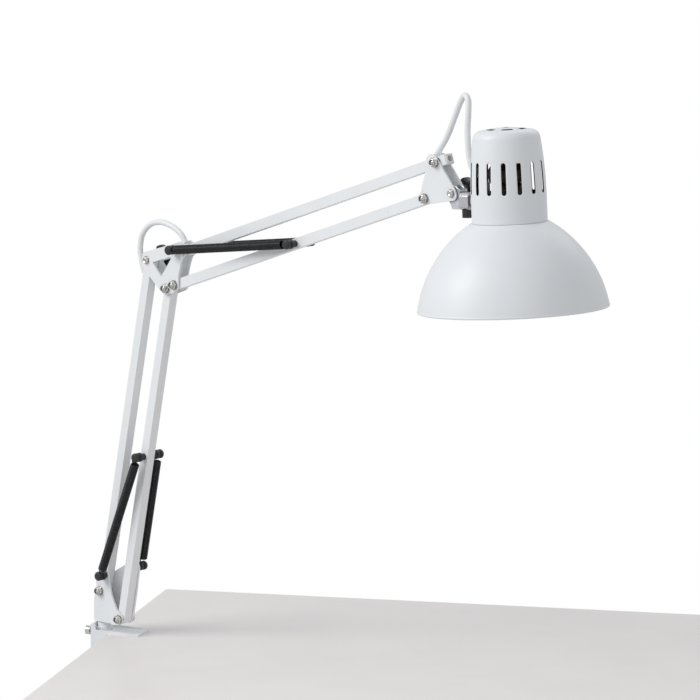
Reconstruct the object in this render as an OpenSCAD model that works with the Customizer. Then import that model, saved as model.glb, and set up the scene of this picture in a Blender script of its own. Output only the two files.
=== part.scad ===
// Desk lamp on a two-stage parallelogram arm with external balance springs.
// Frame: X forward in the plane of the arm, Y to the rear, Z up, millimetres.
// Origin: the swivel pin's axis at the underside of the clamp's top jaw.

/* [Arm] */
// Side of the square arm tubes
tube_s = 10; // [8:0.5:12]
// Wall of the arm tubes
tube_wall = 1.2; // [0.8:0.1:2]
// Hole-to-hole length of the lower arm
lower_len = 358; // [300:1:420]
// Hole-to-hole length of the upper arm
upper_len = 362; // [300:1:420]
// Lean of the lower arm above the horizontal
lower_ang = 78.2; // [70:0.1:84]
// Slope of the upper arm above the horizontal
upper_ang = 18.7; // [12:0.1:26]
// Length of the upper tube past its head pivot
nose_len = 19; // [14:0.5:24]

/* [Brackets] */
// Thickness of the bracket plates
plate_t = 2; // [1.5:0.1:2.5]
// Gap between a tube and each plate beside it
side_gap = 0.5; // [0.4:0.05:0.8]
// Height of the lowest pivot above the clamp's jaw face
pivot_h = 44; // [42:0.5:50]
// Forward offset of the lowest pivot from the swivel axis
pivot_x = 2; // [0:0.5:4]
// Width of the solid web under the base plates
web_w = 22.5; // [20:0.5:24]
// Depth of the web below the lowest pivot to its top
web_drop = 15; // [13:0.5:18]
// Radius of the pivot bolts
bolt_r = 2.5; // [2:0.1:3]
// Width of the hexagon nuts across corners
nut_d = 10.4; // [9:0.1:11]
// Thickness of the hexagon nuts
nut_t = 4; // [3:0.1:5]

/* [Springs] */
// Radius of the close-wound springs
spring_r = 3.9; // [3.4:0.1:4.2]
// Wire thickness of the springs' hooks
wire_d = 1.2; // [1:0.1:1.4]
// Distance of the spring centre lines from the arm's plane
spring_y = 14.6; // [14.2:0.1:16]
// Distance of the spring bars along the tubes
bar_at = 178; // [150:1:200]
// Radius of the bobbins on the spring bars
bobbin_r = 4.4; // [4:0.1:4.6]
// Radius of the spring bars
post_r = 2; // [1.6:0.1:2.2]

/* [Clamp] */
// Width of the clamp
clamp_w = 31; // [26:0.5:36]
// Sheet thickness of the clamp
clamp_t = 2; // [1.5:0.1:2.5]
// Reach of the jaws from the swivel axis
jaw_reach = 43.5; // [38:0.5:50]
// Opening between the jaws
jaw_open = 62; // [50:1:70]
// Thickness of the desk top that the clamp is set to
desk_t = 25; // [15:1:35]
// Turn of the clamp about the swivel axis from the arm's plane
clamp_yaw = 25; // [0:1:45]
// Radius of the swivel pin
pin_r = 5; // [4.8:0.1:5.3]
// Radius of the bore through the swivel pin
pin_bore_r = 3.4; // [3.1:0.1:3.6]
// Height of the socket's rim above the jaw face
socket_h = 10.6; // [9:0.1:10.7]
// Radius of the clamp's spindle
spindle_r = 5; // [4:0.1:6]
// Length of the clamp's spindle below its pad
spindle_len = 96; // [80:1:110]
// Distance of the spindle from the swivel axis
spindle_u = 27; // [24:0.5:30]

/* [Head] */
// Lean of the shade back from the vertical
shade_lean = 3.6; // [0:0.1:8]
// Distance of the shade's axis from the tilt pivot
shade_reach = 65.9; // [60:0.1:72]
// Drop of the stem below the tilt pivot
stem_drop = 7.25; // [6:0.05:9]
// Radius of the stem
stem_r = 4; // [3.5:0.1:4.5]
// Height of the stem above the cap's lower edge
stem_up = 18.5; // [16:0.5:22]

/* [Shade] */
// Radius of the bowl's rim
rim_r = 90; // [80:0.5:100]
// Height of the bowl
bowl_h = 82; // [76:0.5:90]
// Radius of the cap's skirt
cap_r = 35.3; // [34:0.1:38]
// Height of the cap
cap_h = 88; // [80:0.5:96]
// Thickness of the shade's sheet
sheet_t = 1.2; // [0.8:0.1:1.5]
// Number of slot places round the cap
slot_n = 15; // [12:1:18]
// Width of a slot
slot_w = 4.4; // [3:0.1:5]
// Length of a slot
slot_len = 30; // [20:1:34]
// Height of the slots' lower ends above the cap's lower edge
slot_lo = 27; // [26:0.5:32]

/* [Lamp] */
// Radius of the lamp holder
holder_r = 19; // [17:0.5:21]
// Radius of the bulb's widest part
bulb_r = 30; // [26:0.5:34]
// Length of the bulb below the holder's mouth
bulb_len = 62; // [54:1:64]

/* [Lead] */
// Diameter of the two-core lead
cord_d = 5.8; // [5:0.1:6]
// Straight length of the hanging lead above the in-line switch
drop_1 = 5; // [2:1:150]
// Length of the in-line switch
switch_len = 62; // [50:1:70]
// Distance from the switch down to the coil
drop_2 = 6; // [4:1:60]
// Radius of the coil at the middle of its turns
coil_r = 32; // [30:0.5:34]
// Radius of the coil's bundle of turns
bundle_r = 9.6; // [9:0.1:10]
// Drop of the plug's boot below the coil's centre
drop_3 = 32; // [31:1:60]
// Distance between neighbouring turns in the coil's bundle
lay_pitch = 6.6; // [6:0.1:6.8]

/* [Fits] */
// Radial clearance of a turning pin in its bore
run = 0.05; // [0.02:0.01:0.1]
// Clearance between parts that move past each other
free = 0.3; // [0.3:0.05:0.5]

/* [Hidden] */
$fn = 48;

half = tube_s / 2;
in_y = half + side_gap;
out_y = in_y + plate_t;
u_low = [cos(lower_ang), sin(lower_ang)];
u_up = [cos(upper_ang), sin(upper_ang)];
step_low = [28.5, -26];
step_up = [13.2, 35.3];
P1 = [pivot_x, pivot_h];
P2 = P1 + step_low;
A = P1 + lower_len * u_low;
B = A + step_low;
C = A + [39.8, -21.4];
D = C + step_up;
F = C + upper_len * u_up;
E = D + upper_len * u_up;
G = F + [33.9, 7.7];
low_bar = P2 + bar_at * u_low;
up_bar = C + bar_at * u_up;
base_anchor_f = P1 + [8.5, 17.8];
base_anchor_r = P1 + [39.6, 28.8];
elbow_anchor = A + [42.6, 14.7];
post_end = spring_y + bobbin_r + 0.2;
post_in = in_y - 0.2;
col_y = spring_y - bobbin_r;
web_top = pivot_h - web_drop;
web_bot = socket_h + free;
yoke_y = in_y - free;
pad_top = -desk_t;
jaw_low = -jaw_open;
spine_in = pin_r + 0.4;
spine_out = spine_in + clamp_t;
spine_back = 9;
rim_z = stem_drop + stem_up + bowl_h;
slot_a0 = -102.5;
cord_r = cord_d / 2;
lead_z0 = -7;
hang_u = -28;
hang_z = -130;
sw_z1 = hang_z - drop_1;
sw_z0 = sw_z1 - switch_len;
coil_top = sw_z0 - drop_2;
coil_z = coil_top - coil_r - bundle_r;
plug_z = coil_z - drop_3;

// Corner arcs of radius r on the polygon p
function rnd(p, r, n = 5) = [for (i = [0:len(p) - 1])
    let (a = p[(i + len(p) - 1) % len(p)], b = p[i], c = p[(i + 1) % len(p)],
        u = (a - b) / norm(a - b), v = (c - b) / norm(c - b), w = acos(u * v),
        t = min(r / tan(w / 2), 0.42 * min(norm(a - b), norm(c - b))),
        q = t * tan(w / 2), m = (u + v) / norm(u + v), o = b + m * (q / sin(w / 2)),
        s = b + u * t - o, e = b + v * t - o,
        a0 = atan2(s[1], s[0]), d = ((atan2(e[1], e[0]) - a0 + 540) % 360) - 180)
    for (k = [0:n]) o + q * [cos(a0 + d * k / n), sin(a0 + d * k / n)]];
function moved(p, o) = [for (q = p) q + o];
// Points of an arc about c
function arc(c, r, a0, a1, n) = [for (i = [0:n]) let (a = a0 + (a1 - a0) * i / n)
    c + r * [cos(a), sin(a)]];
// Smooth curve through the points of a route, n steps to a span
function mix(a, b, c, d, t) = 0.5 * ((2 * b) + (c - a) * t + (2 * a - 5 * b + 4 * c - d) * t * t
    + (3 * b - a - 3 * c + d) * t * t * t);
function smooth(p, n) = [for (i = [0:len(p) - 2]) for (k = [0:n - 1])
    mix(p[max(i - 1, 0)], p[i], p[i + 1], p[min(i + 2, len(p) - 1)], k / n), p[len(p) - 1]];
function part_of(p, i0, i1) = [for (i = [i0:i1]) p[i]];

// Prism of an outline in the arm's plane from y0 over a thickness
module slab(pts, y0, t) {
    translate([0, y0 + t, 0]) rotate([90, 0, 0]) linear_extrude(t) polygon(pts);
}
// Cylinder along Y at the point p of the arm's plane
module yrod(p, r, y0, y1, f = 48) {
    translate([p[0], y1, p[1]]) rotate([90, 0, 0]) cylinder(r = r, h = y1 - y0, $fn = f);
}
// Ring along Y
module yring(p, r, hole, y0, y1) {
    difference() {
        yrod(p, r, y0, y1);
        yrod(p, hole, y0 - 1, y1 + 1);
    }
}
// A round lead swept along a smooth route in the arm's plane; full is the whole curve
module lead(full, i0, i1, r, sides = 10) {
    n = i1 - i0;
    last = len(full) - 1;
    pts = [for (i = [i0:i1]) let (p = full[i], a = full[max(i - 1, 0)], b = full[min(i + 1, last)],
        t = (b - a) / norm(b - a), s = cross(t, [0, 1, 0]), m = s / norm(s), w = cross(t, m))
        for (k = [0:sides - 1]) p + r * (cos(360 * k / sides) * m + sin(360 * k / sides) * w)];
    faces = concat([[for (k = [0:sides - 1]) k]],
        [[for (k = [sides - 1:-1:0]) n * sides + k]],
        [for (i = [0:n - 1]) for (k = [0:sides - 1])
            [i * sides + k, (i + 1) * sides + k, (i + 1) * sides + (k + 1) % sides,
                i * sides + (k + 1) % sides]]);
    polyhedron(pts, faces, convexity = 6);
}

// Square tube with round eyes at both pivots and through bores
module arm_tube(p, ang, len, bar = 0) {
    translate([p[0], 0, p[1]]) rotate([0, -ang, 0]) difference() {
        union() {
            translate([0, -half, -half]) cube([len, tube_s, tube_s]);
            yrod([0, 0], half, -half, half);
            yrod([len, 0], half, -half, half);
        }
        translate([half + 2, -half + tube_wall, -half + tube_wall])
            cube([len - tube_s - 4, tube_s - 2 * tube_wall, tube_s - 2 * tube_wall]);
        yrod([0, 0], bolt_r + run, -half - 1, half + 1);
        yrod([len, 0], bolt_r + run, -half - 1, half + 1);
        if (bar > 0) yrod([bar, 0], post_r + run, -half - 1, half + 1);
    }
}
// Bolt with a nut and washer at the front and a hexagon head at the rear
module nutted(p) {
    yrod(p, bolt_r, -out_y - nut_t - 1, out_y + 1);
    yrod(p, nut_d / 2, out_y, out_y + 3.4, 6);
    difference() {
        yrod(p, nut_d / 2, -out_y - nut_t - 0.4, -out_y - 0.4, 6);
        yrod(p, bolt_r - 0.2, -out_y - 5, -out_y);
    }
    yring(p, nut_d / 2 + 0.6, bolt_r - 0.2, -out_y - 0.4, -out_y);
    inner_washers(p);
}
// Thin washers between a tube and the plates
module inner_washers(p) {
    for (s = [-1, 1]) {
        y0 = s < 0 ? -in_y : half + 0.1;
        yring(p, half - 0.2, bolt_r - 0.2, y0, y0 + side_gap - 0.1);
    }
}
// Grooved bobbin on a bar, on the side s
module bobbin(p, s, y0) {
    difference() {
        union() {
            yrod(p, post_r + 1.4, min(s * y0, s * col_y), max(s * y0, s * col_y));
            yrod(p, bobbin_r, min(s * col_y, s * (spring_y - 1)), max(s * col_y, s * (spring_y - 1)));
            yrod(p, bobbin_r - 1.3, min(s * (spring_y - 1.2), s * (spring_y + 1.2)),
                max(s * (spring_y - 1.2), s * (spring_y + 1.2)));
            yrod(p, bobbin_r, min(s * (spring_y + 1), s * (spring_y + bobbin_r)),
                max(s * (spring_y + 1), s * (spring_y + bobbin_r)));
        }
        yrod(p, post_r + run, -40, 40);
    }
}
// Close-wound spring between two bobbins
module spring(p, q, y) {
    ang = atan2(q[1] - p[1], q[0] - p[0]);
    len = norm(q - p);
    hook = bobbin_r - 1.2;
    stub = bobbin_r + 0.6;
    translate([p[0], y, p[1]]) rotate([0, -ang, 0]) {
        for (x = [0, len]) yring([x, 0], hook + wire_d, hook, -wire_d / 2, wire_d / 2);
        translate([stub, 0, 0]) rotate([0, 90, 0]) cylinder(r = spring_r, h = len - 2 * stub);
        for (x = [hook + 0.4, len - stub - 0.4]) translate([x, 0, 0]) rotate([0, 90, 0])
            cylinder(r = wire_d / 2, h = stub - hook, $fn = 16);
    }
}
// Star knob with a blind bore, its back face at y0
module star_knob(p, y0) {
    difference() {
        union() {
            translate([p[0], y0 + 12, p[1]]) rotate([90, 0, 0]) linear_extrude(9) difference() {
                circle(r = 13.5);
                for (k = [0:5]) rotate(60 * k) translate([16.2, 0]) circle(r = 5);
            }
            yrod(p, 7, y0, y0 + 4);
            yrod(p, 8, y0 + 11, y0 + 13.5);
        }
        yrod(p, bolt_r + run, y0 - 1, y0 + 9);
    }
}

module at_clamp() {
    rotate([0, 0, clamp_yaw]) children();
}
// Channel of the clamp: inner web round the mouth, flanges to the outside
module clamp_frame() {
    w = clamp_w / 2;
    low = jaw_low - clamp_t;
    side = [[jaw_reach, 0], [jaw_reach, 2.2], [12, 4], [-3.5, 4], [-4.5, socket_h],
        [-spine_back, socket_h], [-spine_back, low - 4], [-3, low - 10], [22, low - 10],
        [jaw_reach, low - 3], [jaw_reach, jaw_low], [spine_out, jaw_low], [spine_out, 0]];
    color("white") at_clamp() difference() {
        union() {
            for (y = [-w, w - clamp_t]) slab(rnd(side, 2), y, clamp_t);
            translate([spine_in, -w, 0]) cube([jaw_reach - spine_in, clamp_w, clamp_t]);
            translate([spine_in, -w, low]) cube([clamp_t, clamp_w, -low + clamp_t]);
            translate([spine_in, -w, low]) cube([jaw_reach - spine_in, clamp_w, clamp_t]);
            translate([-spine_back, -w, -6]) cube([clamp_t, clamp_w, socket_h + 6 - 0.6]);
            translate([spindle_u, 0, low - 10]) cylinder(r = spindle_r + 3.2, h = 12);
        }
        translate([spindle_u, 0, low - 12]) cylinder(r = spindle_r + run, h = 16);
        translate([-spine_back - 1, 0, 0]) rotate([0, 90, 0]) cylinder(r = 2.5 + run, h = 4);
    }
}
// Steel socket of the swivel pin, let in between the flanges
module pin_socket() {
    w = clamp_w / 2 - clamp_t;
    u0 = -spine_back + clamp_t;
    color("white") at_clamp() difference() {
        union() {
            translate([u0, -w, -4]) cube([spine_in - u0, 2 * w, 4]);
            intersection() {
                cylinder(r = 9, h = 6);
                translate([u0, -10, 0]) cube([spine_in - u0, 20, 6]);
            }
            translate([0, 0, clamp_t]) cylinder(r = 7, h = socket_h - clamp_t);
            translate([0, 0, clamp_t]) cylinder(r = 9, h = 3);
        }
        translate([0, 0, -10]) cylinder(r = pin_r + run, h = 30);
        translate([u0 - 1, 0, 0]) rotate([0, 90, 0]) cylinder(r = 2.5 + run, h = 1 - u0);
        translate([-20, -30, clamp_t - 0.01]) cube([20 + u0, 60, 6]);
    }
}
module lock_screw() {
    color("silver") at_clamp() {
        translate([-19, 0, 0]) rotate([0, 90, 0]) cylinder(r = 2.5, h = 19 - pin_r - free);
        translate([-20, 0, 0]) rotate([0, 90, 0]) cylinder(r = 4.6, h = 5);
        translate([-spine_back - 3, 0, 0]) rotate([0, 90, 0]) cylinder(r = 4.2, h = 3, $fn = 6);
    }
}
module clamp_spindle() {
    color("silver") at_clamp() translate([spindle_u, 0, 0]) difference() {
        union() {
            translate([0, 0, pad_top - spindle_len]) cylinder(r = spindle_r, h = spindle_len - 8);
            translate([0, 0, pad_top - 8]) cylinder(r = 3, h = 5.5);
            translate([0, 0, pad_top - spindle_len - 2]) cylinder(r = spindle_r + 2, h = 13);
        }
        translate([0, 0, pad_top - spindle_len + 4.5]) rotate([90, 0, 0])
            cylinder(r = 2.2 + run, h = 40, center = true);
    }
}
module tommy_bar() {
    color("silver") at_clamp() translate([spindle_u, 0, pad_top - spindle_len + 4.5]) rotate([90, 0, 0]) {
        cylinder(r = 2.2, h = 52, center = true);
        for (z = [-28, 25]) translate([0, 0, z]) cylinder(r = 3.4, h = 3);
    }
}
// Cupped pressure pad that swivels on the spindle's tip
module clamp_pad() {
    color("silver") at_clamp() translate([spindle_u, 0, pad_top - 9]) difference() {
        union() {
            cylinder(r = 7, h = 5);
            translate([0, 0, 5]) cylinder(r = 12, h = 3);
        }
        translate([0, 0, -1]) cylinder(r = 3 + run, h = 7.6);
        translate([0, 0, -1]) cylinder(r = spindle_r + free, h = 2.3);
    }
}
module pad_face() {
    color("dimgray") at_clamp() translate([spindle_u, 0, pad_top - 1]) cylinder(r = 11.4, h = 1);
}
module swivel_pin() {
    color("silver") difference() {
        translate([0, 0, -6]) cylinder(r = pin_r, h = web_top + 6);
        translate([0, 0, -7]) cylinder(r = pin_bore_r, h = web_top + 14);
        translate([0, 0, web_top - 1]) cylinder(r1 = pin_bore_r, r2 = pin_bore_r + 1, h = 1.01);
    }
}
// Two plates; the front one has its ear at the upper left, the rear one at the upper right
module base_plates() {
    low = web_bot - pivot_h;
    foot = [[30.7, low + 1.6], [-9.5, low], [-9.2, -9.2], [-5.1, 0.9]];
    edge = [[12.8, 15.1], [14.6, 8], [16.8, -1.1], [20.5, -9], [24.9, -16.7], [33.1, -22.8],
        [33, -28]];
    front = concat([[-6.4, 13.3], [5.2, 22.4], [11.6, 22.6]], edge, foot);
    rear = concat([[-6.4, 13.3], [2, 16.2], [32, 33.2], [43.2, 34.2], [45, 28], [41, 4],
        [36, -20], [33, -28]], foot);
    color("white") difference() {
        union() {
            slab(moved(rnd(front, 2.4), P1), -out_y, plate_t);
            slab(moved(rnd(rear, 3), P1), in_y, plate_t);
        }
        for (p = [P1, P2]) yrod(p, bolt_r + run, -20, 20);
        yrod(base_anchor_f, post_r, -20, 0);
        yrod(base_anchor_r, post_r, 0, 20);
        for (p = web_rivets()) yrod(p, 1.5, -20, 20);
    }
}
function web_rivets() = [P1 + [-5.6, -24], P1 + [9.4, -24]];
// Solid web between the plates, bored for the swivel pin
module base_web() {
    color("white") difference() {
        union() {
            translate([pivot_x - 9.5, -in_y, web_bot])
                cube([web_w, 2 * in_y, web_top - web_bot]);
            for (p = web_rivets()) yrod(p, 1.5, -out_y, out_y, 24);
        }
        translate([0, 0, web_bot - 1]) cylinder(r = pin_r, h = 40);
    }
}
module base_bolts() {
    color("silver") for (p = [P1, P2]) nutted(p);
}
module base_posts() {
    color("silver") {
        yrod(base_anchor_f, post_r, -post_end, -post_in, 32);
        yrod(base_anchor_f, post_r + 1.2, -post_end - 0.8, -post_end, 32);
        yrod(base_anchor_r, post_r, post_in, post_end, 32);
        yrod(base_anchor_r, post_r + 1.2, post_end, post_end + 0.8, 32);
    }
}
module base_bobbins() {
    color("black") {
        bobbin(base_anchor_f, -1, out_y);
        bobbin(base_anchor_r, 1, out_y);
    }
}
module lower_left_tube() {
    color("white") arm_tube(P1, lower_ang, lower_len);
}
module lower_right_tube() {
    color("white") arm_tube(P2, lower_ang, lower_len, bar_at);
}
// Bar through a tube with a clip at each end
module spring_bar(p) {
    yrod(p, post_r, -post_end, post_end, 32);
    for (y = [-post_end - 0.8, post_end]) yrod(p, post_r + 1.2, y, y + 0.8, 32);
}
module lower_bar() {
    color("silver") spring_bar(low_bar);
}
module lower_bobbins() {
    color("black") for (s = [-1, 1]) bobbin(low_bar, s, half);
}
module lower_spring_front() {
    color("dimgray") spring(base_anchor_f, low_bar, -spring_y);
}
module lower_spring_rear() {
    color("dimgray") spring(base_anchor_r, low_bar, spring_y);
}
// Two like plates with a three-cornered window
module elbow_plates() {
    edge = [[-7.1, -5.9], [-5.5, 7.3], [26.7, 16.4], [50, 23.4], [57.5, 19.5], [59.6, 12.5],
        [57, 6.6], [51.5, 3], [49.2, -7.7], [45.8, -14], [45.6, -25], [42, -28.1],
        [27.5, -33.4], [19.5, -29], [-3.5, -9.2]];
    window = [[9.6, -1.4], [33.5, 6.4], [21.2, -14]];
    color("white") difference() {
        for (y = [-out_y, in_y]) slab(moved(rnd(edge, 4), A), y, plate_t);
        slab(moved(rnd(window, 2.5), A), -20, 40);
        for (p = [A, B, C, D]) yrod(p, bolt_r + run, -20, 20);
        yrod(elbow_anchor, post_r, -20, 20);
    }
}
module elbow_bolts() {
    color("silver") {
        for (p = [B, C]) nutted(p);
        yrod(D, bolt_r, -out_y - 2.4, out_y + 2.4);
        for (y = [-out_y - 2.4, out_y]) yrod(D, bolt_r + 2, y, y + 2.4);
        inner_washers(D);
    }
}
// Clamping stud with a low round head at the front
module clamp_stud(p) {
    yrod(p, bolt_r, -out_y - 3, out_y + 8);
    yrod(p, bolt_r + 1.4, -out_y - 3, -out_y);
    yring(p, bolt_r + 3.5, bolt_r - 0.2, out_y, out_y + 0.8);
    inner_washers(p);
}
module elbow_stud() {
    color("silver") clamp_stud(A);
}
module elbow_knob() {
    color("black") star_knob(A, out_y + 0.8 + run);
}
module elbow_post() {
    color("silver") spring_bar(elbow_anchor);
}
module elbow_bobbins() {
    color("black") for (s = [-1, 1]) bobbin(elbow_anchor, s, out_y);
}
module upper_low_tube() {
    color("white") arm_tube(C, upper_ang, upper_len, bar_at);
}
// The upper tube runs on past the head pivot to an open end
module upper_top_tube() {
    inner = half - tube_wall;
    color("white") translate([D[0], 0, D[1]]) rotate([0, -upper_ang, 0]) difference() {
        union() {
            translate([0, -half, -half]) cube([upper_len + nose_len - 4, tube_s, tube_s]);
            yrod([0, 0], half, -half, half);
        }
        translate([half + 2, -inner, -inner]) cube([upper_len - tube_s - 4, 2 * inner, 2 * inner]);
        translate([upper_len + half + 2, -inner, -inner]) cube([nose_len, 2 * inner, 2 * inner]);
        for (x = [0, upper_len]) yrod([x, 0], bolt_r + run, -half - 1, half + 1);
    }
}
module upper_end_cap() {
    inner = half - tube_wall;
    tip = [[0, -half], [4, -half], [4, half], [0, half]];
    color("white") translate([E[0], 0, E[1]]) rotate([0, -upper_ang, 0]) difference() {
        union() {
            translate([nose_len - 4, 0, 0]) intersection() {
                slab(rnd(tip, 1.6), -half, tube_s);
                rotate([90, 0, 0]) slab(rnd(tip, 1.6), -half, tube_s);
            }
            translate([nose_len - 10, -inner + run, -inner + run])
                cube([6.5, 2 * inner - 2 * run, 2 * inner - 2 * run]);
        }
        translate([nose_len - 11, 0, 0]) rotate([0, 90, 0]) cylinder(r = cord_r + run, h = 12);
    }
}
module upper_bar() {
    color("silver") spring_bar(up_bar);
}
module upper_bobbins() {
    color("black") for (s = [-1, 1]) bobbin(up_bar, s, half);
}
module upper_spring_front() {
    color("dimgray") spring(elbow_anchor, up_bar, -spring_y);
}
module upper_spring_rear() {
    color("dimgray") spring(elbow_anchor, up_bar, spring_y);
}
module head_plates() {
    edge = [[15.1, 39.2], [38, 11.5], [40.5, 5.5], [37.5, 1], [33.5, 0.5], [-5.4, -6.9],
        [-7.7, -1.6], [0, 22.8], [1.2, 37.1], [4, 42.3], [11.5, 43.2]];
    color("white") difference() {
        for (y = [-out_y, in_y]) slab(moved(rnd(edge, 3), F), y, plate_t);
        for (p = [E, F, G]) yrod(p, bolt_r + run, -20, 20);
    }
}
module head_bolts() {
    color("silver") for (p = [E, F]) nutted(p);
}
module head_stud() {
    color("silver") {
        yrod(G, bolt_r, -out_y - 3, out_y + 8);
        yrod(G, bolt_r + 1.4, -out_y - 3, -out_y);
        yring(G, bolt_r + 3.5, bolt_r - 0.2, out_y, out_y + 0.8);
    }
}
module head_knob() {
    color("black") star_knob(G, out_y + 0.8 + run);
}
// The head's frame: tilt pivot at its origin, +X along the stem
module at_head() {
    translate([G[0], 0, G[1]]) rotate([0, -shade_lean, 0]) children();
}
// Strap yoke: two cheeks with round tops joined by a front wall and a middle sleeve
module tilt_yoke() {
    cheek = [[-6, -5.5], [-1.5, -15.2], [8.6, -15.2], [8.6, 5], [6.6, 1], [-6.8, 1]];
    color("silver") at_head() difference() {
        union() {
            for (y = [-yoke_y, yoke_y - 1.8]) {
                slab(rnd(cheek, 1), y, 1.8);
                yrod([0, 0], 7, y, y + 1.8);
            }
            translate([7, -yoke_y, -15.2]) cube([1.8, 2 * yoke_y, 18]);
            yrod([0, 0], bolt_r + 1.6, -yoke_y, yoke_y);
        }
        yrod([0, 0], bolt_r + run, -20, 20);
        translate([0, 0, -stem_drop]) rotate([0, 90, 0]) cylinder(r = 2, h = 12);
    }
}
// Faceted die-cast block that carries the stem
module stem_block() {
    face = [[-7, -13], [-4.5, -15.6], [4.5, -15.6], [7, -13], [7, -2.5], [4.5, 0.6],
        [-4.5, 0.6], [-7, -2.5]];
    color("darkgray") at_head() difference() {
        translate([8.8, 0, 0]) rotate([90, 0, 90]) linear_extrude(11.2) polygon(face);
        translate([10.4, 0, -stem_drop]) rotate([0, 90, 0]) cylinder(r = stem_r + run, h = 20);
    }
}
module friction_screw() {
    color("black") at_head() translate([14.2, 0, -15.6 - 7.5]) {
        difference() {
            cylinder(r = 6, h = 7.5);
            for (k = [0:15]) rotate(22.5 * k) translate([6.3, 0, -1]) cylinder(r = 0.7, h = 9, $fn = 14);
        }
    }
}
// Stem with a hexagon shoulder outside the cap and a nut inside it
module stem() {
    wall = shade_reach - cap_r;
    seat = shade_reach - strap_x + strap_t;
    color("silver") at_head() translate([0, 0, -stem_drop]) rotate([0, 90, 0]) {
        translate([0, 0, 10.8]) cylinder(r = stem_r, h = seat - 10.8 + 4.6);
        translate([0, 0, 20.3]) cylinder(r = 5.6, h = 4.4, $fn = 6);
        translate([0, 0, 24.7]) cylinder(r = 5.2, h = wall - 24.7 - 0.1);
        translate([0, 0, wall + sheet_t + 0.6]) cylinder(r = 6, h = seat - strap_t - wall - sheet_t - 0.6);
        translate([0, 0, seat]) cylinder(r = 6.4, h = 4, $fn = 6);
    }
}

// The shade's frame: its axis up, the rim's plane at zero
module at_shade() {
    at_head() translate([shade_reach, 0, -rim_z]) children();
}
cap_arc = 380;
cap_fillet = 9;
function cap_side(d) = let (a = asin((cap_h - cap_fillet - 25) / cap_arc),
    rt = cap_r - cap_arc * (1 - cos(a)))
    concat([[cap_r - d, 0]], arc([cap_r - cap_arc, 25], cap_arc - d, 0, a, 8),
        arc([rt - cap_fillet, cap_h - cap_fillet], cap_fillet - d, 12, 90, 6), [[0, cap_h - d]]);
function back(p) = [for (i = [len(p) - 1:-1:0]) p[i]];
// Straight slot with round ends, standing on its lower end
module slot_2d(w, h) {
    translate([-w / 2, w / 2]) square([w, h - w]);
    for (y = [w / 2, h - w / 2]) translate([0, y]) circle(r = w / 2);
}
grommet_k = 12;
grommet_up = 46;
function cap_rad(h) = cap_r - cap_arc + sqrt(cap_arc * cap_arc - pow(max(h - 25, 0), 2));
// Slotted cap of thin sheet with a ring of curved slots in its top
module shade_cap() {
    color("white") at_shade() translate([0, 0, bowl_h]) difference() {
        rotate_extrude($fn = 96) polygon(concat(cap_side(0), back(cap_side(sheet_t))));
        for (k = [0:slot_n - 1]) if (k != grommet_k)
            rotate([0, 0, slot_a0 + 360 / slot_n * k]) translate([cap_r - 9, 0, slot_lo])
                rotate([90, 0, 90]) linear_extrude(14) slot_2d(slot_w, slot_len);
        rotate([0, 0, slot_a0 + 360 / slot_n * grommet_k]) translate([cap_r - 9, 0, grommet_up])
            rotate([0, 90, 0]) cylinder(r = cord_r + 2, h = 14);
        translate([-cap_r - 4, 0, stem_up]) rotate([0, 90, 0]) cylinder(r = stem_r + run, h = 12);
        for (k = [0:5]) rotate([0, 0, 60 * k]) translate([0, 0, cap_h - 4])
            rotate_extrude(angle = 32, $fn = 96) translate([15.5, 0]) square([3.2, 8]);
        translate([0, 0, cap_h - 5]) cylinder(r = 1.6, h = 8);
    }
}
module cap_grommet() {
    color("white") at_shade() translate([0, 0, bowl_h + grommet_up])
        rotate([0, 0, slot_a0 + 360 / slot_n * grommet_k])
        translate([cap_rad(grommet_up), 0, 0]) rotate([0, 90, 0]) difference() {
            union() {
                translate([0, 0, -sheet_t - 2.4]) cylinder(r = cord_r + 1.9, h = sheet_t + 4.4);
                translate([0, 0, 0.6]) cylinder(r = cord_r + 3.4, h = 1.6);
                translate([0, 0, -sheet_t - 2.4]) cylinder(r = cord_r + 3.4, h = 1.6);
            }
            translate([0, 0, -10]) cylinder(r = cord_r, h = 20);
        }
}
bowl_arc = 117;
neck_r = cap_r - sheet_t - free;
// Bowl of thin sheet: an arc from the rolled rim to a neck inside the cap's skirt
module shade_bowl() {
    p = [rim_r, 0];
    q = [cap_r + 1.5, bowl_h - free];
    m = (p + q) / 2;
    d = q - p;
    o = m + [-d[1], d[0]] / norm(d) * sqrt(bowl_arc * bowl_arc - d * d / 4);
    a0 = atan2(p[1] - o[1], p[0] - o[0]);
    a1 = atan2(q[1] - o[1], q[0] - o[0]);
    neck = [[neck_r, q[1]], [neck_r, bowl_h + 8], [neck_r - sheet_t, bowl_h + 8],
        [neck_r - sheet_t, q[1] - sheet_t]];
    color("white") at_shade() rotate_extrude($fn = 128) union() {
        polygon(concat(arc(o, bowl_arc, a0, a1, 24), neck,
            arc(o, bowl_arc - sheet_t, a1 - 0.5, a0, 24)));
        translate([rim_r - 1.2, 1.3]) circle(r = 1.3, $fn = 20);
    }
}
strap_x = cap_r - sheet_t - 2.4;
strap_t = 1.5;
strap_z = bowl_h + 36;
// Angle strap from the stem's nut over to the lamp holder
module holder_strap() {
    color("silver") at_shade() difference() {
        union() {
            translate([-strap_x, -8, bowl_h + stem_up - 8])
                cube([strap_t, 16, strap_z - bowl_h - stem_up + 8 + strap_t]);
            translate([-strap_x, -8, strap_z]) cube([strap_x + 9, 16, strap_t]);
        }
        translate([-strap_x - 1, 0, bowl_h + stem_up]) rotate([0, 90, 0])
            cylinder(r = stem_r + run, h = 6);
        translate([0, 0, strap_z - 1]) cylinder(r = 5 + run, h = 6);
    }
}
mouth_z = bowl_h - 7;
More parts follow.
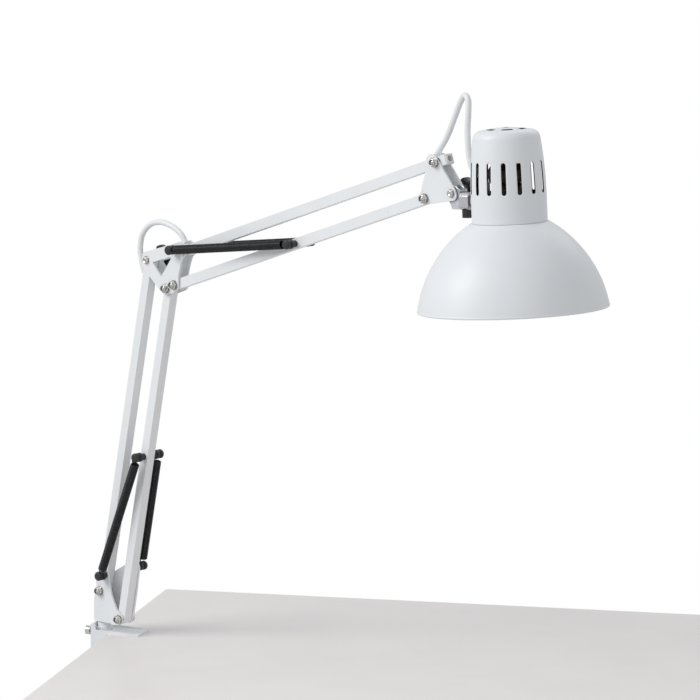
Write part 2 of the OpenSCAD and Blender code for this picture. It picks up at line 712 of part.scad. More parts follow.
// Plain holder, hollow from below, hung from the strap by its threaded neck
module lamp_holder() {
    color("white") at_shade() difference() {
        union() {
            rotate_extrude() polygon(concat([[0, mouth_z], [holder_r, mouth_z],
                [holder_r, mouth_z + 30], [holder_r - 2, mouth_z + 33]],
                [[holder_r - 3, strap_z - 5], [holder_r - 7, strap_z], [0, strap_z]]));
            translate([0, 0, strap_z - 2]) cylinder(r = 5, h = 9);
            translate([0, 0, strap_z + strap_t]) cylinder(r = 8, h = 3, $fn = 6);
        }
        translate([0, 0, mouth_z - 1]) cylinder(r = 14.6, h = 30);
    }
}
module bulb_base() {
    color("silver") at_shade() {
        translate([0, 0, mouth_z - 0.3]) cylinder(r = 13.3, h = 26);
        translate([0, 0, mouth_z + 25]) cylinder(r = 4.6, h = 4 - free);
    }
}
// Pear-shaped bulb of opal plastic
module bulb_glass() {
    lo = mouth_z - 0.3 - bulb_len;
    color("whitesmoke") at_shade() rotate_extrude() polygon(concat(
        arc([0, lo + bulb_r], bulb_r, -90, 24, 18),
        [[bulb_r - 12, lo + bulb_len - 8], [bulb_r - 15.6, lo + bulb_len - 3],
            [13.4, lo + bulb_len], [0, lo + bulb_len]]));
}

// Routes of the two loops, from the lowest pivot, and the whole curves
elbow_way = [[62.4, 0, 336], [58.5, 0, 348], [56.3, 0, 360], [60, 0, 375], [72, 0, 386],
    [88, 0, 389.4], [104, 0, 386.4], [116, 0, 380], [122.6, 0, 371.5]];
head_way = [[460.5, 0, 482], [466.5, 0, 490.5], [475.6, 0, 505.3], [484.7, 0, 524.3],
    [491.5, 0, 537.5], [499, 0, 545], [505.6, 0, 541], [507, 0, 528], [506.5, 0, 514],
    [507, -1, 502], [508.5, -2, 490], [512, -3, 479.5], [518.2, -3.3, 475]];
elbow_curve = [for (p = smooth(elbow_way, 3)) p + [pivot_x, 0, pivot_h]];
head_curve = [for (p = smooth(head_way, 2)) p + [pivot_x, 0, pivot_h]];
module elbow_lead_a() {
    color("white") lead(elbow_curve, 0, 12, cord_r);
}
module elbow_lead_b() {
    color("white") lead(elbow_curve, 12, len(elbow_curve) - 1, cord_r);
}
module head_lead_a() {
    color("white") lead(head_curve, 0, 9, cord_r);
}
module head_lead_b() {
    color("white") lead(head_curve, 9, 16, cord_r);
}
module head_lead_c() {
    color("white") lead(head_curve, 16, len(head_curve) - 1, cord_r);
}
// Short lead from the lower arm down through the hollow pin
module base_lead() {
    color("white") translate([0, 0, lead_z0 + 0.4])
        cylinder(r = cord_r, h = pivot_h - half - free - lead_z0 - 0.4, $fn = 24);
}
// The hanging lead, in the three lengths that are not coiled
module mains_lead() {
    color("white") {
        at_clamp() lead(clamp_curve, 0, len(clamp_curve) - 1, cord_r);
        at_hang() {
            translate([0, 0, coil_z + in_drop])
                cylinder(r = cord_r, h = sw_z0 - coil_z - in_drop, $fn = 24);
            at_plug() cylinder(r = cord_r, h = drop_3 - out_drop, $fn = 24);
        }
    }
}
clamp_way = [[0, 0, lead_z0], [0, 0, -20], [-1.5, 0, -38], [-6.5, 0, -57], [-13.5, 0, -76],
    [-20.5, 0, -95], [-26, 0, -113], [hang_u, 0, hang_z]];
// Heights at which the straight lead meets the outside of the coil
in_drop = sqrt(pow(coil_r + bundle_r, 2) - pow(coil_r + lay_pitch, 2));
out_drop = sqrt(pow(coil_r + 7.5, 2) - pow(coil_r + lay_pitch / 2, 2));
module at_plug() {
    translate([lay_pitch / 2, 6, plug_z]) children();
}
clamp_curve = concat(smooth(clamp_way, 2), [[hang_u, 0, sw_z1]]);
// Where the lead hangs, behind the clamp
module at_hang() {
    at_clamp() translate([hang_u, 0, 0]) children();
}
sw_w = 25;
sw_d = 22;
sw_mid = (sw_z0 + sw_z1) / 2;
module switch_body() {
    side = [[-sw_w / 2 + 3, 0], [-sw_w / 2, 9], [-sw_w / 2, switch_len - 9],
        [-sw_w / 2 + 3, switch_len], [sw_w / 2 - 3, switch_len], [sw_w / 2, switch_len - 9],
        [sw_w / 2, 9], [sw_w / 2 - 3, 0]];
    color("white") at_hang() difference() {
        slab(moved(rnd(side, 3), [0, sw_z0]), -sw_d / 2, sw_d);
        translate([-6.7, -sw_d / 2 - 1, sw_mid - 12.4]) cube([13.4, 9, 24.8]);
        translate([-8.2, -sw_d / 2 + 4.5, sw_mid]) rotate([0, 90, 0])
            cylinder(r = 1.2 + run, h = 16.4);
    }
}
module switch_rocker() {
    y0 = -sw_d / 2;
    face = [[y0 - 2.2, -11.3], [y0 - 0.6, 0], [y0 - 2.2, 11.3], [y0 + 4, 10.6], [y0 + 5.8, 7],
        [y0 + 6.4, 0], [y0 + 5.8, -7], [y0 + 4, -10.6]];
    color("white") at_hang() translate([0, 0, sw_mid]) {
        translate([-6.4, 0, 0]) rotate([90, 0, 90]) linear_extrude(12.8) polygon(face);
        translate([-7.9, y0 + 4.5, 0]) rotate([0, 90, 0]) cylinder(r = 1.2, h = 15.8);
    }
}
module lead_coil() {
    color("white") at_hang() translate([coil_r + lay_pitch, 0, coil_z]) rotate([90, 0, 0]) rotate_extrude()
        translate([coil_r, 0]) circle(r = bundle_r, $fn = 32);
}
module coil_tie() {
    color("white") at_hang() translate([2 * coil_r + lay_pitch, 0, coil_z - 2.5]) difference() {
        cylinder(r = bundle_r + 1.4, h = 5);
        translate([0, 0, -1]) cylinder(r = bundle_r + 0.3, h = 7);
    }
}
module plug_body() {
    boot = 24;
    body = [[-6, 0], [-11, -5], [-13, -14], [-13, -30], [13, -30], [13, -14], [11, -5], [6, 0]];
    color("white") at_hang() at_plug() {
        translate([0, 0, -boot]) cylinder(r1 = 5.6, r2 = cord_r + 0.9, h = boot);
        slab(moved(rnd(body, 3), [0, -boot]), -7, 14);
    }
}
module plug_pins() {
    color("silver") at_hang() at_plug() for (x = [-9.3, 9.3]) translate([x, 0, -24 - 30 - 19]) {
        translate([0, 0, 2]) cylinder(r = 2, h = 17);
        cylinder(r1 = 1.2, r2 = 2, h = 2);
    }
}

clamp_frame();
pin_socket();
lock_screw();
clamp_spindle();
tommy_bar();
clamp_pad();
pad_face();
swivel_pin();
base_plates();
base_web();
base_bolts();
base_posts();
base_bobbins();
lower_left_tube();
lower_right_tube();
lower_bar();
lower_bobbins();
lower_spring_front();
lower_spring_rear();
elbow_plates();
elbow_bolts();
elbow_stud();
elbow_knob();
elbow_post();
elbow_bobbins();
upper_low_tube();
upper_top_tube();
upper_end_cap();
upper_bar();
upper_bobbins();
upper_spring_front();
upper_spring_rear();
head_plates();
head_bolts();
head_stud();
head_knob();
tilt_yoke();
stem_block();
friction_screw();
stem();
shade_cap();
cap_grommet();
shade_bowl();
holder_strap();
lamp_holder();
bulb_base();
bulb_glass();
elbow_lead_a();
elbow_lead_b();
head_lead_a();
head_lead_b();
head_lead_c();
base_lead();
mains_lead();
switch_body();
switch_rocker();
lead_coil();
coil_tie();
plug_body();
plug_pins();
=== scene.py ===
"""Clamp-on desk lamp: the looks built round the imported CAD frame, laid out as a Blender add-on."""
import math

import bmesh
import bpy
import numpy as np
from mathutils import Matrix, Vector


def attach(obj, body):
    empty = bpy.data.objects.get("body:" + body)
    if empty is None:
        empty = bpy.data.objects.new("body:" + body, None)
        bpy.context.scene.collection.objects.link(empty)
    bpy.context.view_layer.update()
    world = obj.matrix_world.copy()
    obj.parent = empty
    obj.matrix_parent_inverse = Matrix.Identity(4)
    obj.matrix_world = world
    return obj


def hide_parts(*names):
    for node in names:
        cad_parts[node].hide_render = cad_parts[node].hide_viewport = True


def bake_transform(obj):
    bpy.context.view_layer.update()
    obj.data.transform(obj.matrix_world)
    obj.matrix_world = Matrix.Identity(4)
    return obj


bl_info = {
    "name": "Clamp-on desk lamp",
    "version": (1, 0, 0),
    "blender": (4, 5, 0),
    "location": "3D View > Sidebar > Lamp",
    "description": "Builds the parts, finishes and studio of a spring-balanced desk lamp",
    "category": "Object",
}

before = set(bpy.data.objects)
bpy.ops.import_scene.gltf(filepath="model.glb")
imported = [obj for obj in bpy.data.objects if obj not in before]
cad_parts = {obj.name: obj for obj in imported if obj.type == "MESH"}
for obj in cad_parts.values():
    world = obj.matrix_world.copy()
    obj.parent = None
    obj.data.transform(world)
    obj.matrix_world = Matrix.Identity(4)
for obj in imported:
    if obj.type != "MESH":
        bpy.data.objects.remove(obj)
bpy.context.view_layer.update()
MM = 0.001

# The arm in its own plane, in millimetres: x forward, z up. An arm reaches from pivot to pivot.
PIVOT_FRONT = np.array([2.0, 44.0])
PIVOT_REAR = np.array([30.5, 18.0])
LOWER_REACH, UPPER_REACH, BAR_REACH = 358, 362, 178
LOWER_TURN, UPPER_TURN = math.radians(78.2), math.radians(18.7)
ALONG_LOWER = np.array([math.cos(LOWER_TURN), math.sin(LOWER_TURN)])
ALONG_UPPER = np.array([math.cos(UPPER_TURN), math.sin(UPPER_TURN)])
ELBOW_KNOB_AT = PIVOT_FRONT + LOWER_REACH * ALONG_LOWER
ELBOW_LOWER = ELBOW_KNOB_AT + [28.5, -26.0]
ELBOW_LOW = ELBOW_KNOB_AT + [39.8, -21.4]
ELBOW_TOP = ELBOW_LOW + [13.2, 35.3]
HEAD_LOW = ELBOW_LOW + UPPER_REACH * ALONG_UPPER
HEAD_TOP = ELBOW_TOP + UPPER_REACH * ALONG_UPPER
HEAD_TILT = HEAD_LOW + [33.9, 7.7]
LOWER_BAR = PIVOT_REAR + BAR_REACH * ALONG_LOWER
UPPER_BAR = ELBOW_LOW + BAR_REACH * ALONG_UPPER
SPRING_FOOT_FRONT = PIVOT_FRONT + [8.5, 17.8]
SPRING_FOOT_REAR = PIVOT_FRONT + [39.6, 28.8]
SPRING_ELBOW = ELBOW_KNOB_AT + [42.6, 14.7]

# Distances from the arm's plane: the plates' outer faces, the springs, and the near faces of the knobs.
# Then the radii of bolts and spring bars, and a nut's width across its corners.
PLATE_OUT, SPRING_Y, KNOB_Y = 7.5, 14.6, 8.35
BOLT_R, BAR_R, NUT_ACROSS = 2.45, 2.0, 9.4

# Clamp: its turn about the pin, and places in its own frame, where u runs from the pin in over the desk
CLAMP_YAW = math.radians(25.0)
SPINDLE_U, PAD_Z, TOMMY_Z = 27.0, -25.0, -116.5
HANG_U = -28.0

# Shade: the rim's centre from the tilt bolt, and the bowl and cap in the rim's frame
LEAN = math.radians(3.6)
RIM_FROM_TILT = np.array([65.9, 0, -107.75])
RIM_R, BOWL_ARC, BOWL_H = 90.0, 117, 82.0
CAP_R, CAP_H, CAP_ARC, CAP_STRAIGHT = 35.3, 88.0, 380.0, 25
CROWN, SHOULDER_R, SHEET_T = 2.2, 9, 1.2


def rows(*m):
    """A placement: the first three numbers of each row turn a point, and the fourth moves it."""
    return np.array(m, float)


# The clamp's own frame is turned about the pin; the shade's stands on the rim's centre, leaning by the
# stem's angle
CLAMP_AT = rows([math.cos(CLAMP_YAW), -math.sin(CLAMP_YAW), 0, 0],
                [math.sin(CLAMP_YAW), math.cos(CLAMP_YAW), 0, 0], [0, 0, 1, 0])
SPINDLE_AT = rows([1, 0, 0, SPINDLE_U], [0, 1, 0, 0], [0, 0, 1, 0])
TOMMY_AT = rows([1, 0, 0, SPINDLE_U], [0, 0, 1, 0], [0, -1, 0, TOMMY_Z])
SHADE_AT = rows([math.cos(LEAN), 0, -math.sin(LEAN), HEAD_TILT[0]], [0, 1, 0, 0],
                [math.sin(LEAN), 0, math.cos(LEAN), HEAD_TILT[1]])
SHADE_AT[:, 3] += SHADE_AT[:, :3] @ RIM_FROM_TILT


def y_axis_at(point, turn=0.0, side=1):
    """Placement whose own z runs along y through a point of the arm's plane, or to the front for side
    -1."""
    c, s = math.cos(turn), math.sin(turn)
    return rows([side * s, c, 0, point[0]], [0, 0, side, 0], [side * c, -s, 0, point[1]])


def along_at(point, turn, y=0.0):
    """Placement whose own z runs along an arm's direction in the arm's plane, its x to the arm's upper
    side."""
    c, s = math.cos(turn), math.sin(turn)
    return rows([-s, 0, c, point[0]], [0, -1, 0, y], [c, 0, s, point[1]])


# A shape is a pair: an array of points in millimetres and a list of face index arrays
def sheet_grid(points, wrap_u=False, wrap_v=False):
    """Quads on a grid of points (u, v, 3); either way may close on itself."""
    nu, nv = points.shape[:2]
    index = np.arange(nu * nv).reshape(nu, nv)
    a = np.concatenate([index, index[:1]]) if wrap_u else index
    a = np.concatenate([a, a[:, :1]], axis=1) if wrap_v else a
    quads = np.stack([a[:-1, :-1], a[1:, :-1], a[1:, 1:], a[:-1, 1:]], axis=-1).reshape(-1, 4)
    return points.reshape(-1, 3), [quads]


def joined(*shapes):
    """Several shapes as one; their points stay apart where they don't meet."""
    points, faces, start = [], [], 0
    for shape_points, shape_faces in shapes:
        points.append(shape_points)
        faces += [f + start for f in shape_faces]
        start += len(shape_points)
    return np.concatenate(points), faces


def placed(shape, *places):
    """The shape carried by each placement in turn: point times the first three columns, plus the fourth."""
    points, faces = shape
    for place in places:
        points = points @ place[:, :3].T + place[:, 3]
    return points, faces


def turned(profile, steps=64, outline=None):
    """A profile of (radius, height) rows carried round z. With an outline, a radius r at angle t becomes
    outline(t, r, height). Rows on the axis are closed by the later merge of doubles."""
    profile = np.asarray(profile, float)
    t = np.linspace(0, 2 * math.pi, steps, endpoint=False)[:, None]
    r = np.broadcast_to(profile[:, 0], (steps, len(profile)))
    z = np.broadcast_to(profile[:, 1], (steps, len(profile)))
    if outline is not None:
        r = outline(t, r, z)
    return sheet_grid(np.stack([r * np.cos(t), r * np.sin(t), z], axis=-1), wrap_u=True)


def eased_profile(profile, ease=0.4, steps=3):
    """Each inner corner of a profile is cut back by ease along both its sides and bridged by a parabola."""
    p = np.asarray(profile, float)
    out = [p[:1]]
    for a, b, c in zip(p[:-2], p[1:-1], p[2:]):
        u, w = a - b, c - b
        lu, lw = np.hypot(*u), np.hypot(*w)
        k = min(ease, 0.45 * lu, 0.45 * lw)
        s, e = b + u / max(lu, 1e-9) * k, b + w / max(lw, 1e-9) * k
        t = np.linspace(0, 1, steps + 1)[:, None]
        out.append((1 - t) ** 2 * s + 2 * t * (1 - t) * b + t ** 2 * e)
    out.append(p[-1:])
    return np.concatenate(out)


# A profile's radius that stands for a hexagon's side, and the cones that chamfer its ends
FLAT = 99.0
CHAMFER_SHARE, CHAMFER_SLOPE = 0.97, 1.9


def flat_rows(low, high, count):
    """Rows of a profile that stand on a hexagon's flats from low to high."""
    return np.c_[np.full(count, FLAT), np.linspace(low, high, count)]


def hexagon(across_corners, low, high):
    """Outline of a hexagon: where the profile says FLAT, radius = apothem / cos of the angle to the
    nearest flat, kept inside the two cones that chamfer its ends at low and high."""
    apothem = across_corners / 2 * math.cos(math.pi / 6)

    def shape_of(t, r, z):
        flat = apothem / np.cos((t + math.pi / 6) % (math.pi / 3) - math.pi / 6)
        cone = apothem * CHAMFER_SHARE + CHAMFER_SLOPE * np.minimum(z - low, high - z)
        return np.where(r == FLAT, np.minimum(flat, cone), r)
    return shape_of


def curve_through(points, steps):
    """Catmull-Rom curve through the points, with a number of steps to each span."""
    p = np.asarray(points, float)
    n = len(p) - 1
    i = np.repeat(np.arange(n), steps)
    t = np.tile(np.arange(steps) / steps, n)[:, None]
    a, b, c, d = p[np.maximum(i - 1, 0)], p[i], p[i + 1], p[np.minimum(i + 2, n)]
    q = 0.5 * (2 * b + (c - a) * t + (2 * a - 5 * b + 4 * c - d) * t ** 2 + (3 * b - a - 3 * c + d) * t ** 3)
    return np.concatenate([q, p[-1:]])


# How wide a tube's end ring is before it closes
TIP_SHARE = 0.85


def swept(line, radius, sides=14, normal_to=(0.0, 1.0, 0.0)):
    """A round tube along a line: each ring is line + radius * (cos a * n + sin a * b), where n is the
    cross product of the tangent with a direction that stays across the line. The ends step in and close
    on the line."""
    line = np.asarray(line, float)
    tangent = np.gradient(line, axis=0)
    tangent /= np.linalg.norm(tangent, axis=1)[:, None]
    n = np.cross(tangent, np.broadcast_to(np.asarray(normal_to, float), line.shape))
    n /= np.linalg.norm(n, axis=1)[:, None]
    b = np.cross(tangent, n)
    r = np.broadcast_to(np.asarray(radius, float), (len(line),))[:, None, None]
    a = np.linspace(0, 2 * math.pi, sides, endpoint=False)[None, :, None]
    ring = line[:, None] + r * (np.cos(a) * n[:, None] + np.sin(a) * b[:, None])
    near, far = np.repeat(line[:1, None], sides, 1), np.repeat(line[-1:, None], sides, 1)
    ring = np.concatenate([near, near + (ring[:1] - near) * TIP_SHARE, ring,
                           far + (ring[-1:] - far) * TIP_SHARE, far])
    return sheet_grid(ring, wrap_v=True)


def piece(name, shape, body, finish, nodes=(), sharp=35.0, outward=True):
    """Puts a shape in millimetres into a new object in metres, with its doubles merged, its finish and
    its body."""
    points, faces = shape
    mesh = bpy.data.meshes.new(name)
    mesh.from_pydata((points * MM).tolist(), [], [f for block in faces for f in block.tolist()])
    work = bmesh.new()
    work.from_mesh(mesh)
    bmesh.ops.remove_doubles(work, verts=work.verts, dist=2e-6)
    bmesh.ops.dissolve_degenerate(work, edges=work.edges, dist=1e-6)
    if outward:
        bmesh.ops.recalc_face_normals(work, faces=work.faces)
    work.to_mesh(mesh)
    work.free()
    return finished(name, mesh, body, finish, nodes, sharp)


def finished(name, mesh, body, finish, nodes, sharp):
    """An object of the mesh, smooth but for edges above the sharp angle, in place of its nodes. It rides
    on its body, or on none where none is given."""
    mesh.polygons.foreach_set("use_smooth", [True] * len(mesh.polygons))
    mesh.set_sharp_from_angle(angle=math.radians(sharp))
    mesh.materials.clear()
    mesh.materials.append(finish_of(finish))
    thing = bpy.data.objects.new(name, mesh)
    bpy.context.scene.collection.objects.link(thing)
    if body:
        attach(thing, body)
    if nodes:
        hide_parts(*nodes)
    return thing


# Where the upper tube's nose begins, from the head's pivot, and the share of its length that it keeps
NOSE_PAST, NOSE_KEEP = 7.0, 0.5


def shortened(points):
    """Points of the upper tube beyond NOSE_PAST from the head's pivot are drawn back along the tube, so
    that this end keeps a share of its length."""
    along = ((points[:, 0] / MM - HEAD_TOP[0]) * ALONG_UPPER[0] +
             (points[:, 2] / MM - HEAD_TOP[1]) * ALONG_UPPER[1])
    back = np.clip(along - NOSE_PAST, 0, None) * (NOSE_KEEP - 1) * MM
    return points + back[:, None] * np.array([ALONG_UPPER[0], 0, ALONG_UPPER[1]])


# The elbow plates' window, from the knob's bolt: the sharper triangle's corners, and how far it reaches
# from its middle. The plates' rear edge, beyond EAR_FROM, is drawn in by EAR_IN at the heights EAR_UP.
WINDOW = np.array([[8.4, -1.3], [21.2, -15.0], [37.6, 7.3]])
WINDOW_REACH, EAR_FROM = 14.5, 43
EAR_UP, EAR_IN = (-15, -7.7, 3, 6.6, 12.5, 19.5, 23.4), (0, -2.2, -1.2, -4.7, -1.6, -1, 0)


def opened(points):
    """The window's points are brought along lines from its middle to the triangle's sides, and the
    points of the rear edge are drawn in by amounts interpolated over its height."""
    rel = points[:, [0, 2]] / MM - ELBOW_KNOB_AT
    middle = WINDOW.mean(axis=0)
    along = np.roll(WINDOW, -1, axis=0) - WINDOW
    out = np.c_[along[:, 1], -along[:, 0]] / np.hypot(*along.T)[:, None]
    ray = rel - middle
    share = ((ray @ out.T) / np.sum((WINDOW - middle) * out, axis=1)).max(axis=1)
    inside = (share < 0.97) & (np.hypot(*ray.T) < WINDOW_REACH)
    moved = np.where(inside[:, None], ray * (1 / np.maximum(share, 0.05) - 1)[:, None], 0)
    moved[:, 0] += np.where(rel[:, 0] > EAR_FROM, np.interp(rel[:, 1], EAR_UP, EAR_IN), 0)
    return points + np.c_[moved[:, 0], np.zeros(len(points)), moved[:, 1]] * MM


def eased(node, body, finish, width=0.35, segments=2, angle=38.0, change=None):
    """A copy of a CAD node with its doubles merged, its flat faces made whole and its edges rounded by a
    bevel."""
    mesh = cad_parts[node].data.copy()
    work = bmesh.new()
    work.from_mesh(mesh)
    bmesh.ops.remove_doubles(work, verts=work.verts, dist=2e-6)
    bmesh.ops.dissolve_limit(work, angle_limit=math.radians(0.6), verts=work.verts, edges=work.edges)
    work.to_mesh(mesh)
    work.free()
    if change:
        points = np.empty(len(mesh.vertices) * 3, np.float32)
        mesh.vertices.foreach_get("co", points)
        mesh.vertices.foreach_set("co", change(points.reshape(-1, 3)).ravel())
    thing = finished(node + "_eased", mesh, body, finish, (node,), 35.0)
    bevel = thing.modifiers.new("edges", "BEVEL")
    bevel.width, bevel.segments, bevel.limit_method = width * MM, segments, "ANGLE"
    bevel.angle_limit = math.radians(angle)
    bevel.harden_normals = False
    return thing


def hue(name, text, value):
    """A colour a user would change."""
    return bpy.props.FloatVectorProperty(name=name, description=text, default=value, min=0, max=1,
                                         subtype="COLOR")


def size(name, text, value, low, high):
    """A length in millimetres, kept as metres."""
    return bpy.props.FloatProperty(name=name, description=text, default=value * MM, min=low * MM,
                                   max=high * MM, unit="LENGTH", precision=4)


class LampColours(bpy.types.PropertyGroup):
    """Colours of the lamp's finishes and of the studio."""
    paint: hue("Paint", "Powder coat of the arm, brackets and clamp", (0.83, 0.845, 0.86))
    shade: hue("Shade", "Paint of the bowl and cap", (0.80, 0.815, 0.835))
    nickel: hue("Nickel", "Nuts, bolts and stem", (0.66, 0.65, 0.62))
    zinc: hue("Zinc", "Strap yoke, bars and small steel parts", (0.72, 0.73, 0.75))
    cast: hue("Die-cast", "Block that carries the stem", (0.58, 0.585, 0.60))
    spring: hue("Spring", "Oiled spring steel", (0.028, 0.028, 0.03))
    black: hue("Black plastic", "Knobs and bobbins", (0.014, 0.014, 0.015))
    lead: hue("Lead", "Sheath of the lead", (0.82, 0.83, 0.84))
    fittings: hue("Fittings", "Switch, plug, tie, sleeves and grommet", (0.80, 0.80, 0.795))
    opal: hue("Bulb", "Opal body of the bulb", (0.86, 0.86, 0.83))
    brass: hue("Pins", "Plug's pins", (0.62, 0.60, 0.55))
    rubber: hue("Pad", "Rubber face of the clamp's pad", (0.10, 0.10, 0.10))
    # Painted shade: near-black for the shadow inside the cap, on its inner wall and the edges of its slots.
    inside: hue("Inner wall", "Unlit inside of the shade's cap", (0.03, 0.03, 0.032))
    holder: hue("Holder", "Lamp holder inside the cap", (0.035, 0.031, 0.024))
    desk: hue("Desk", "Desk top of the studio", (0.85, 0.80, 0.785))


class LampSizes(bpy.types.PropertyGroup):
    """Sizes of the looks that a user would change; the main forms come from the CAD frame."""
    wire: size("Spring wire", "Thickness of the springs' wire", 1.25, 0.8, 1.4)
    coil: size("Spring coil", "Radius of the springs' coils, outside", 4.6, 3.2, 4.8)
    lead: size("Lead", "Thickness of the lead", 5.8, 5.0, 6.2)
    edge: size("Plate edges", "Rounding of the plates' edges", 0.35, 0.1, 0.5)
    hem: size("Hem", "Radius of the bowl's rolled hem", 1.3, 0.9, 1.3)
    pitch: size("Thread", "Pitch of the clamp spindle's thread", 2.0, 1.5, 3.0)


def colours():
    """The scene's lamp colours."""
    return bpy.context.scene.lamp_colours


def sizes():
    """The scene's lamp sizes, in metres."""
    return bpy.context.scene.lamp_sizes


def node_of(tree, kind, place, values=()):
    """A node of a kind at a place, with its inputs set from names and values."""
    node = tree.nodes.new(kind)
    node.location = place
    for key, value in dict(values).items():
        node.inputs[key].default_value = value
    return node


def ranged(tree, source, place, start, end, low, high):
    """The source's values from start to end, spread from low to high."""
    node = node_of(tree, "ShaderNodeMapRange", place,
                   {"From Min": start, "From Max": end, "To Min": low, "To Max": high})
    tree.links.new(source, node.inputs["Value"])
    return node.outputs[0]


def noise(tree, source, place, values):
    """A noise over the source's coordinates."""
    node = node_of(tree, "ShaderNodeTexNoise", place, values)
    tree.links.new(source, node.inputs["Vector"])
    return node.outputs["Fac"]


def mixed(tree, factor, place, a, b):
    """From a to b as the factor rises; each is a node's output or a plain colour."""
    mix = tree.nodes.new("ShaderNodeMix")
    mix.data_type, mix.location = "RGBA", place
    tree.links.new(factor, mix.inputs["Factor"])
    for key, colour in (("A", a), ("B", b)):
        if isinstance(colour, tuple):
            mix.inputs[key].default_value = colour
        else:
            tree.links.new(colour, mix.inputs[key])
    return mix.outputs["Result"]


def make_finish(name, colour, rough, metal=0.0, mottle=(60.0, 0.03), rough_spread=0.06, grain=(1600.0, 0.05),
                grain_depth=0.00006, coat=0.0, coat_rough=0.1, sheen=0.0, stretch=None, marks=0.0,
                painted_crevice_shade=0.0):
    """A shader with three layers on Object coordinates: slow mottling of the colour, cloudy changes of
    roughness, and a fine grain as bump. stretch draws the grain out along an axis; marks adds sparse
    darker rubbed specks; the last argument paints shade into crevices, and is how near a surface has to
    stand to another one for its colour to go dark there."""
    made = bpy.data.materials.get(name)
    if made:
        return made
    made = bpy.data.materials.new(name)
    made.use_nodes = True
    tree = made.node_tree
    tree.nodes.clear()
    out = node_of(tree, "ShaderNodeOutputMaterial", (700, 0))
    shader = node_of(tree, "ShaderNodeBsdfPrincipled", (400, 0),
                     {"Metallic": metal, "Coat Weight": coat, "Coat Roughness": coat_rough,
                      "Sheen Weight": sheen})
    tree.links.new(shader.outputs[0], out.inputs[0])
    where = node_of(tree, "ShaderNodeTexCoord", (-900, 0)).outputs["Object"]
    slow = noise(tree, where, (-500, 250), {"Scale": mottle[0], "Detail": 4.0, "Roughness": 0.55})
    ramp = node_of(tree, "ShaderNodeValToRGB", (-250, 250))
    deep = [c * (1 - 2 * mottle[1]) for c in colour]
    for stop, place, tone in zip(ramp.color_ramp.elements, (0.3, 0.7), (deep, colour)):
        stop.position, stop.color = place, (*tone, 1)
    tree.links.new(slow, ramp.inputs["Fac"])
    seen = ramp.outputs["Color"]
    if marks:
        specks = node_of(tree, "ShaderNodeTexVoronoi", (-500, 500), {"Scale": mottle[0] * 5})
        tree.links.new(where, specks.inputs["Vector"])
        cut = ranged(tree, specks.outputs["Distance"], (-250, 500), 0.05, 0.16, marks, 0.0)
        seen = mixed(tree, cut, (50, 350), seen, (*[c * 0.55 for c in colour], 1))
    # Painted shade: ambient occlusion darkens the colour in crevices, down to 7 per cent of it.
    if painted_crevice_shade:
        shut = node_of(tree, "ShaderNodeAmbientOcclusion", (-100, 550), {"Distance": painted_crevice_shade})
        free = ranged(tree, shut.outputs["AO"], (50, 550), 0.35, 0.9, 0.0, 1.0)
        seen = mixed(tree, free, (220, 450), (*[c * 0.07 for c in colour], 1), seen)
    tree.links.new(seen, shader.inputs["Base Color"])
    cloud = noise(tree, where, (-500, 0), {"Scale": mottle[0] * 2.3, "Detail": 3.0})
    spread = ranged(tree, cloud, (-250, 0), 0.3, 0.7, rough - rough_spread, rough + rough_spread)
    tree.links.new(spread, shader.inputs["Roughness"])
    if stretch:
        turn = node_of(tree, "ShaderNodeMapping", (-700, -300), {"Scale": stretch})
        tree.links.new(where, turn.inputs["Vector"])
        where = turn.outputs["Vector"]
    fine = noise(tree, where, (-500, -300), {"Scale": grain[0], "Detail": 2.0})
    bump = node_of(tree, "ShaderNodeBump", (-100, -300), {"Strength": grain[1] * 10, "Distance": grain_depth})
    tree.links.new(fine, bump.inputs["Height"])
    tree.links.new(bump.outputs["Normal"], shader.inputs["Normal"])
    return made


